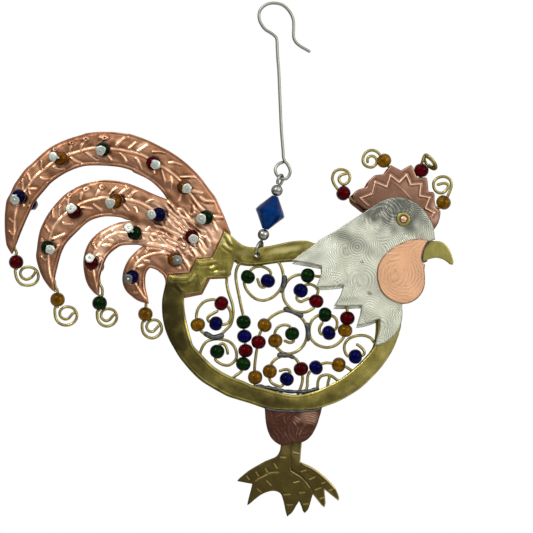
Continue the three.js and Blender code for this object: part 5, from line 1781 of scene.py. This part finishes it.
@dataclass
class Curls:
    """Four curls below the tail and four above the comb, one of which has its scroll turned aside."""

    finishes: Finishes
    tail: tuple[tuple[str, Point, float, Bead], ...] = (
        ("13.2,243 13.9,248 16.2,253.5 r15.5,261.7 14.8,268.8 14.8,273.2 16.6,279.5 20.6,284 26.9,285.3 "
         "33.2,284 37.2,279.5 37.7,275 35.9,270.5 32.3,267.8 27.8,266.9 22.4,268.3 19.7,272.3 21.1,276.8 "
         "25.1,279.3 29.6,278.1 33.2,274.7 35,271.5", (-69.7, -69.6), -85, Bead.RED),
        ("54,281 54.7,286.2 57.4,291.6 a57.2,299.4 54.9,307 54.3,312.7 55.6,319 59.2,323.5 65.5,325.3 "
         "71.8,323.5 75.8,319 76.3,314 73.6,309.1 69.1,306.9 63.7,307.3 59.7,310.9 59.7,315.8 63.7,319 "
         "67.8,318.5 71.8,314 74,312.6",
         (-58.5, -79.8), -88, Bead.AMBER),
        ("98.4,278 99.2,283.3 101.7,288.3 101.5,295.8 g99.3,302.9 97.1,310.8 96.7,315 97.9,320.8 101.7,325 "
         "106.7,326.3 112.1,324.6 115.8,320.4 116.3,315 113.3,310.4 108.3,308.8 103.3,310 100.8,313.8 "
         "101.3,317.9 105,320.8 108.8,320 112.1,316.3 114.6,314", (-47.1, -80.7), -92, Bead.GREEN),
        ("146,298 145.8,304.2 145.4,307 a144.8,314 142.5,321.8 141.7,326.7 143.3,333.3 147.5,337.1 "
         "152.5,338.2 157.9,335.8 161.3,330.8 160.8,325 157.5,320.8 152.5,320 148.3,322.1 146.3,326.7 "
         "148.3,330.8 152.5,331.7 155.4,329.2 158.8,325.4", (-34.7, -83.7), -97, Bead.AMBER),
    )
    aside: int = 2
    comb: tuple[tuple[str, Point, float, Bead], ...] = (
        ("357,202 351,198 r343.8,193 337.6,188.4 334,183.1 332.6,177.7 334.9,171.4 341,169 347.4,171 "
         "350.1,175.9 348.8,181.3 343.8,184.2 339.8,181.3 339.2,177.7 342,174.5 347,173.2", (18.9, -51.0),
         145, Bead.RED),
        ("392,171 389.2,166 a384.7,160.5 380.6,154.8 377,151.2 371.7,149.7 366.3,152.1 363.6,156.6 "
         "363.6,162.4 367.2,166 372.6,166.7 376.6,163.3 377,159.3 374.4,156.2 370.8,155.7 368.1,157.9 "
         "367.9,161.5",
         (29.9, -42.2), 127, Bead.AMBER),
        ("421,184 421,177 r421.9,170.1 422.4,162.4", (40.0, -44.8), 88, Bead.RED),
        ("428,206 433.7,207 439.9,207.8 a443.9,202.2 448.4,195.6 450.6,190.3 452,184.9 450.6,179.5 "
         "445.3,176.3 439,177.2 434.5,181.3 434.5,187.6 438.1,192 443.5,192.5 447.5,188.9 448.8,184.9 "
         "445.3,182.9 438.5,184.2", (46.0, -53.5), 54, Bead.AMBER),
    )

    def build(self) -> None:
        """Builds all eight curls."""
        for i, row in enumerate(self.tail):
            Curl(f"tail_curl_{i + 1}", *row).build(self.finishes, 0.0)
        for i, (text, *rest) in enumerate(self.comb):
            text, depth = self.turned(text) if i == self.aside else (text, 0.0)
            Curl(f"comb_curl_{i + 1}", text, *rest).build(self.finishes, depth)

    def turned(self, text: str) -> tuple[str, np.ndarray]:
        """Adds the third comb curl's scroll, whose plane faces aside.

        Returns:
            The longer text, and how far each point stands to the front or rear in millimetres.
        """
        long_way, short_way = np.array([0.66, 0.75]), np.array([0.75, -0.66])
        centre, radius, flatness, turns = np.array([430.2, 162.0]), 9.6, 0.33, 1.62
        rows, depth = [], []
        for turn in np.linspace(0, turns, 15):
            a = math.radians(205) + 2 * math.pi * turn
            r = radius * (1 - 0.42 * turn / turns)
            at = centre + long_way * r * math.cos(a) - short_way * r * flatness * math.sin(a)
            rows.append(f"{at[0]:.1f},{at[1]:.1f}")
            depth.append(r * UNIT_MM * 0.94 * math.sin(a))
        count = len(text.split())
        return text + " " + " ".join(rows), np.concatenate([np.zeros(count), depth])


@dataclass
class Scrolls:
    """The wires, beads and solder inside the ring."""

    finishes: Finishes
    back: tuple[str, ...] = (
        "226.7,272 226.7,279.2 226.7,283.3 228.3,291.7 230.8,299.2 232.5,305 233.2,311.7 232.5,318.3 "
        "230.4,325 225.8,330 221.7,333.8 216,336.5",
        "213.5,336.6 207.5,335.4 201.7,331.7 a197.9,325 196.3,318.3 196.7,312.5 199.2,306.7 204.2,301.7 "
        "210,299.8 214.2,299.6 r221.1,303.2 227.5,306.7 230,310.8 230.8,315.8 230,320 227.5,323.3 "
        "223.3,324.6 b216.3,323.6 209.2,321.7 207.5,318.3 209.2,315.8 213.3,313.3 217.1,311.3",
        "199.5,356 200.8,350.8 203.3,345.4 206.7,341.7 210,340.2 216.7,339 222.5,339.6 229.2,341.7 "
        "234.2,346.7 236.3,352.5 236.3,358.3 233.3,362.5 228.3,365.4 223.3,365 218.3,362.5 215.4,359.6 "
        "g217.1,351.8 219.2,345.4 222.5,343.8 225.4,345.8 227.1,350 227.7,353.5",
    )
    strand: tuple[str, ...] = (
        "243,256 240,263 237.5,266.7 236,271.7 235.8,278.3 237.1,286.7 238.8,295 240.4,303.3 242.1,310.8 "
        "243.2,315.8 g243.6,322.1 b244.4,336.3 r245.7,350.4 g243.3,364.2 241.3,371.3 235,376.3 231,380",
    )
    centre: tuple[str, ...] = (
        "255,391 255,386 a255.2,377.1 254.6,370 255,363.3 255.8,356.7 256.7,350.8 r258.5,342.5 259.6,334.6 "
        "261.3,330.8 a264.8,325 268.3,320 270.8,317.5 275,314.6 280,312.1 285,310.8 287.9,311 293.7,313 "
        "300.4,316.8 305.2,323.1 307.1,330.8 306.6,338.5 303.8,345.2 299.4,350 293.7,352.9 287.9,354 "
        "282.1,352.4 278.3,349 276.3,347.1 a275.4,340.9 274.9,333.2 276.8,328.8 280.2,326 285,325 "
        "289.8,326.4 g292.2,333.5 293.7,341.3 289.8,342.8 285,340.9",
        "276.5,255 278.6,262 280.5,264.9 282.4,270 283.4,276.4 282.4,284.1 279.9,289.9 275.4,295 270.3,298.5 "
        "263.2,300.4 255.8,298.8 250,294.2 245.8,288.3 244.2,281.7 g247.7,277.1 250.8,270 255,267.1 "
        "260.8,266.3 266.7,268.3 270.8,272.5 b267.9,280.7 265,286.7 261.7,287.1 259.2,284.2 257.7,279.2",
        "330,270 326,275.2 319.6,276.4 314.5,275.8 g307.6,275.4 298.5,274.8 293.3,276.4 288.8,279.6 "
        "285.6,284.1 283.4,289.2 283.1,294.4 284.7,300.8 288.2,305.9 293.3,310.4 299.7,312.3 306.2,312 "
        "311.3,309.7 313.8,307.8 r316.4,301.4 317.7,293.7 318.3,290.5 316.4,287.3 313.8,285.4 309.4,284.1 "
        "304.9,285.4 b300.6,290.8 296.9,296.9 297.8,300.1 301,301.7 304.9,300.1 308.7,298.5",
        "346,301 347,307.2 347.5,310.6 r347.7,318 a345.4,330.6 343.7,337.5 339.8,342.3 334,346.2 327.3,347.6 "
        "321.5,346.6 315.8,343.8 311,338.5 309.5,332.7 310,326 312.4,320.2 317.7,315.9 g324.9,314.6 "
        "332.6,315.9 336.4,319.2 337.4,324 336,328.8 b329,332.9 321.5,334.1 319.6,330.8 320.1,326.9 "
        "322.5,323.1",
        "304,394 307.3,387 307.6,381.7 308.1,376 310,372.1 b316.4,367.5 322.5,363.9 327.3,363 332.1,363.5 "
        "a339,364.9 345.6,366.8 351.3,370.2 356,373.5",
        "298,394 300.9,387.5 302.3,382.7 302.8,377.9 r301.2,369.2 297.5,361 292.7,356.8 286.5,355.3 "
        "280.7,356.7 275.4,359.6 271.5,363.9 a269.9,371.3 269.6,378.8 271.5,382.7 275.4,385.1 281.2,386.5 "
        "b286.9,379.3 290.3,373.1 288.8,370.2 285,369.7 280.2,371",
        "316.5,392 317.7,386.5 318.2,381.7 320.6,376.9 326.3,375 331.2,376 336.9,379.8 341,383",
        "329.7,376 329.4,378.5 328.3,382.7 327.6,388",
    )
    breast: tuple[str, ...] = (
        "380,346 374.4,342.3 371.5,338.5 366.7,336.1 361,335.4 354.2,336.5 348.5,339.4 345.1,344.2 344.6,349 "
        "346.1,353.8 348.5,356.3 b355.2,356.7 363.4,355.3 364.8,352.9 363.8,350 361,347.1 357.6,344.7",
    )
    back_solder: tuple[tuple[str, float], ...] = (("206,334 213.5,337.4 221.5,335.8", 0.8),)
    centre_solder: tuple[tuple[str, float], ...] = (
        ("284.6,277.7 284.2,284 281.5,291", 0.66), ("286,309.3 293,311.8 301,315.4", 0.7),
        ("307.2,325 308.6,332 308.3,340", 0.64), ("279.7,355.2 286,355.4 292.7,357.2", 0.66),
        ("258,386.6 270,388.2 283,391 296,392 308,391.6 318,388.6", 0.5),
    )
    solder_depth: float = -0.12

    def group(self, node: str, strands: tuple[str, ...], solder: tuple[tuple[str, float], ...],
              first: int) -> int:
        """Builds one group of wires with its beads and solder.

        Args:
            node: The node that the group stands for.
            strands: Texts of the wires.
            solder: Lines and radii of the solder.
            first: Number of the group's first bead.

        Returns:
            The number after its last bead.
        """
        wires, number = [], first
        for k, text in enumerate(strands):
            strand = Strand(text)
            line = strand.line(sway=0.06, seed=first + k)
            wires.append(tube(line, strand.radius * MM, 14))
            for centre, way, colour in strand.beads(line):
                points, faces = strand.bead.mesh(centre, way, number)
                piece = mesh_object(f"ring_bead_{number:02d}", points, faces, self.finishes[colour.value])
                put(piece, "rooster", colour.value, node)
                number += 1
        put(mesh_object(f"{node}_wires", *merged(wires), self.finishes["wire_brass"]), "rooster",
            "wire_brass", node)
        if solder:
            blobs = []
            for j, (text, radius) in enumerate(solder):
                path = lifted(DRAWING.place(smooth(stroke(text), 0.8)), self.solder_depth * MM)
                lumps = radius * (1 + 0.22 * waves(path / MM, 2.4, 40 + j + first, 10)) * MM
                blobs.append(tube(path, np.clip(lumps, 0.25 * MM, 0.75 * MM), 16))
            put(mesh_object(f"{node}_solder", *merged(blobs), self.finishes["solder"]), "rooster",
                "wire_brass", node)
        return number

    def build(self) -> None:
        """Builds all the groups."""
        number = self.group("back_scrolls", self.back, self.back_solder, 1)
        number = self.group("beaded_strand", self.strand, (), number)
        number = self.group("centre_scrolls", self.centre, self.centre_solder, number)
        self.group("breast_loop", self.breast, (), number)


@dataclass
class Hanger:
    """The hook, and the leaning link with its balls and crystal.

    Sizes are in millimetres.
    """

    finishes: Finishes
    hook: str = (
        "309.2,50.7 306.1,48.9 300.7,45.8 296.7,42.6 294.4,39 293.5,35 293.6,30.5 293.7,25.1 293.5,20.2 "
        "292.2,15.7 289.5,10.8 285.4,6.3 281,3.6 276,2.5 271.5,2.5 267,3.6 263,6.1 260.1,9.6 259,13.5 "
        "259,17.1 260.1,21.1 262.6,25.6 265.7,29.2 269.7,31.6 273.3,34.1 276,36.8 276.9,39.9 277.1,44.9 "
        "277.8,58.3 278.7,69.6 280,100 281.4,130 283,150 283.5,157.3 285.3,161.6 287.8,164.6 289.6,168.3 "
        "290.2,171.9 289,175.6 286.5,178.3 282.9,178.8 278.6,176.6 275.9,172.8 275.3,168.9 276.8,165.5 "
        "279.8,163 283.2,161.6"
    )
    hook_radius: float = 0.405
    ring_back: float = 0.88
    link_radius: float = 0.4
    upper_eye: float = 0.57
    upper_eye_radius: float = 1.4
    lean: float = 17.0
    top: tuple[float, float, float] = (1.901, 0.0, -46.960)
    upper_ball: float = 3.5
    crystal: float = 9.75
    lower_ball: float = 16.0
    lower_eye: float = 20.025
    ball_diameter: float = 3.12
    crystal_diameter: float = 8.05
    crystal_length: float = 9.32
    crystal_sides: int = 16
    crystal_bore: float = 0.52
    ball_bore: float = 0.62
    stem: tuple[float, ...] = (2.35, 5.0, 9.75, 15.0, 17.6)
    eye_turn: float = 25.0

    def down(self, distance_mm: float) -> np.ndarray:
        """Gives a place on the link in metres, so far below its hinge."""
        a = math.radians(self.lean)
        return (np.array(self.top) + distance_mm * np.array([-math.sin(a), 0.0, -math.cos(a)])) * MM

    def build(self) -> None:
        """Builds the hook, the link, the balls and the crystal."""
        flat = DRAWING.place(stroke(self.hook), hung=False)
        depth = np.zeros(len(flat))
        depth[-5:] = np.linspace(0.0, self.ring_back, 5)
        path = smooth(lifted(flat, depth * MM), 0.3 * MM)
        put(mesh_object("hanger_hook_wire", *tube(path, self.hook_radius * MM, 16),
                        self.finishes["wire_steel"]), "hook", "wire_steel", "hanger_hook")
        self.build_link()
        way = self.down(1.0) - self.down(0.0)
        way /= np.linalg.norm(way)
        for name, body, at in (("upper_spacer_ball", "upper_ball", self.upper_ball),
                               ("lower_spacer_ball", "lower_ball", self.lower_ball)):
            r, bore = self.ball_diameter / 2, self.ball_bore
            start = math.asin(bore / r)
            profile = [(r * math.sin(t), -r * math.cos(t)) for t in np.linspace(start, math.pi - start, 25)]
            profile += [(bore - 0.06, r * 0.8), (bore - 0.06, -r * 0.8)]
            mesh = lathe(profile, self.down(at), way, 40)
            put(mesh_object(name + "_shell", *mesh, self.finishes["ball_steel"]), body, "silver", name)
        self.build_crystal(way)

    def build_link(self) -> None:
        """Builds the link's wire with its turned upper eye and its slanting lower eye."""
        a = math.radians(self.lean)
        along = np.array([-math.sin(a), 0.0, -math.cos(a)])
        aside = np.array([math.cos(a), 0.0, -math.sin(a)])
        front = np.array([0.0, 1.0, 0.0])
        turn = math.radians(self.eye_turn)
        wide = aside * math.sin(turn) + front * math.cos(turn)
        upper_middle, radius = self.down(self.upper_eye), self.upper_eye_radius
        points = []
        for t in np.linspace(48, 282 + 40, 16):
            s = math.radians(t)
            points.append(upper_middle + (wide * radius * -math.sin(s) + along * radius * math.cos(s)) * MM)
        stem = [self.down(at) for at in self.stem]
        eye_middle = self.down(self.lower_eye)
        lower = []
        for t in np.linspace(155, -140, 15):
            s = math.radians(t)
            y = 2.3 * math.sin(s)
            lower.append(eye_middle + (front * y + aside * (0.28 * y) - along * 1.95 * math.cos(s)) * MM)
        path = smooth(np.vstack([points, stem, lower]), 0.22 * MM)
        put(mesh_object("bead_link_wire", *tube(path, self.link_radius * MM, 14),
                        self.finishes["wire_steel"]), "link", "wire_steel", "bead_link")

    def build_crystal(self, way: np.ndarray) -> None:
        """Builds the bicone crystal with two rows of facets above and below its belt."""
        sides, half, r = self.crystal_sides, self.crystal_length / 2, self.crystal_diameter / 2
        aside = np.array([0.0, 1.0, 0.0])
        other = np.cross(way, aside)
        centre = self.down(self.crystal)
        rows, bore = [], self.crystal_bore
        spec = ((bore, -half + 0.05, 0), (0.85, -half, 0), (r * 0.86, -half * 0.24, 1), (r, -0.12, 0),
                (r, 0.35, 0), (r * 0.80, half * 0.30, 1), (0.85, half, 0), (bore, half - 0.05, 0))
        points = []
        for radius, height, stagger in spec:
            row = []
            for j in range(sides):
                t = (j + 0.5 * stagger) / sides * 2 * math.pi
                row.append(len(points))
                out = math.cos(t) * aside + math.sin(t) * other
                points.append(centre + (way * height + radius * out) * MM)
            rows.append((row, stagger))
        faces = []
        count = len(rows)
        for i in range(count):
            (low, s0), (high, s1) = rows[i], rows[(i + 1) % count]
            for j in range(sides):
                k = (j + 1) % sides
                if s0 == s1:
                    faces.append([low[j], low[k], high[k], high[j]])
                elif s1:
                    faces.append([low[j], low[k], high[j]])
                    faces.append([low[k], high[k], high[j]])
                else:
                    faces.append([low[j], low[k], high[k]])
                    faces.append([low[j], high[k], high[j]])
        piece = mesh_object("crystal_bead_glass", np.array(points), faces, self.finishes["blue_crystal"],
                            flat=True)
        put(piece, "crystal", "blue_crystal", "crystal_bead")


# Studio.


@dataclass
class Studio:
    """The camera, the lights, the white surroundings and the floor."""

    middle: Point = VIEWED_MM
    away: float = VIEW_DISTANCE_MM
    front: float = -VIEW_PLANE_MM
    lens: float = 125.08
    floor_drop: float = 260.0

    def build(self) -> None:
        """Sets up the whole studio."""
        scene = bpy.context.scene
        scene.view_settings.view_transform = "Standard"
        camera = bpy.data.cameras.new("camera")
        camera.lens, camera.sensor_width, camera.clip_end = self.lens, 36.0, 10.0
        camera.clip_start = 0.01
        held = bpy.data.objects.new("camera", camera)
        held.location = (self.middle[0] * MM, (self.front - self.away) * MM, self.middle[1] * MM)
        held.rotation_euler = (math.pi / 2, 0.0, 0.0)
        scene.collection.objects.link(held)
        scene.camera = held
        self.build_world()
        self.build_light("key", (-0.30, -0.55, 0.40), 0.25, 2.4)
        self.build_light("fill", (0.5, -0.5, 0.1), 0.4, 1.4)
        self.build_floor()

    def build_world(self) -> None:
        """Builds plain white surroundings with a soft gradient for reflections."""
        world = bpy.data.worlds.new("studio")
        bpy.context.scene.world = world
        world.use_nodes = True
        world.node_tree.nodes.clear()
        n = Nodes(world.node_tree)
        way = n.add("TexCoord").outputs["Generated"]
        parts = n.add("SeparateXYZ", Vector=way)
        height = n.ramp(parts.outputs["Z"], -0.6, 0.55, 0.30, 1.35)
        side = n.ramp(parts.outputs["X"], -0.45, 0.35, 0.62, 1.12)
        spots = n.noise(way, Scale=2.1, Detail=2.0)
        patches = n.ramp(spots, 0.36, 0.64, 0.72, 1.25)
        level = n.times(n.times(height, side), patches)
        behind = n.ramp(parts.outputs["Y"], 0.05, 0.35, 0.0, 0.6)
        glossy = n.add("MapRange", i0=behind, i3=level, i4=1.0).outputs[0]
        ray = n.add("LightPath").outputs
        plain = n.maths("MAXIMUM", ray["Is Camera Ray"], ray["Is Transmission Ray"])
        shown = n.add("MapRange", i0=ray["Is Glossy Ray"], i3=0.75, i4=glossy).outputs[0]
        strength = n.add("MapRange", i0=plain, i3=shown, i4=1.0).outputs[0]
        background = n.add("Background", Color=(1.0, 1.0, 1.0), Strength=strength)
        n.add("OutputWorld", Surface=background.outputs[0])

    def build_light(self, name: str, place: tuple[float, float, float], size: float, power: float) -> None:
        """Adds a soft light that faces the ornament."""
        light = bpy.data.lights.new(name, "AREA")
        light.shape, light.size, light.energy = "DISK", size, power
        held = bpy.data.objects.new(name, light)
        held.location = place
        toward = Vector((self.middle[0] * MM, 0.0, self.middle[1] * MM)) - Vector(place)
        held.rotation_euler = toward.to_track_quat("-Z", "Y").to_euler()
        bpy.context.scene.collection.objects.link(held)

    def build_floor(self) -> None:
        """Adds a plain pale floor, low enough to stay out of the picture."""
        half, z = 0.5, (self.middle[1] - self.floor_drop) * MM
        points = np.array([(-half, -half, z), (half, -half, z), (half, half, z), (-half, half, z)])
        paint = bpy.data.materials.new("floor_paint")
        paint.use_nodes = True
        shader = paint.node_tree.nodes["Principled BSDF"]
        shader.inputs["Base Color"].default_value = (0.86, 0.86, 0.86, 1.0)
        shader.inputs["Roughness"].default_value = 0.7
        mesh_object("floor", points, [[0, 1, 2, 3]], paint)


def main() -> None:
    """Builds every part of the picture in order."""
    logging.basicConfig(level=logging.INFO, format="%(message)s")
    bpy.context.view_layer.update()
    finishes = Finishes()
    pins = TailPins(finishes)
    Tail(finishes, pins).build()
    pins.build()
    Legs(finishes).build()
    BodyRing(finishes).build()
    Head(finishes).build()
    Curls(finishes).build()
    Scrolls(finishes).build()
    Hanger(finishes).build()
    Studio().build()


if __name__ == "__main__":
    main()
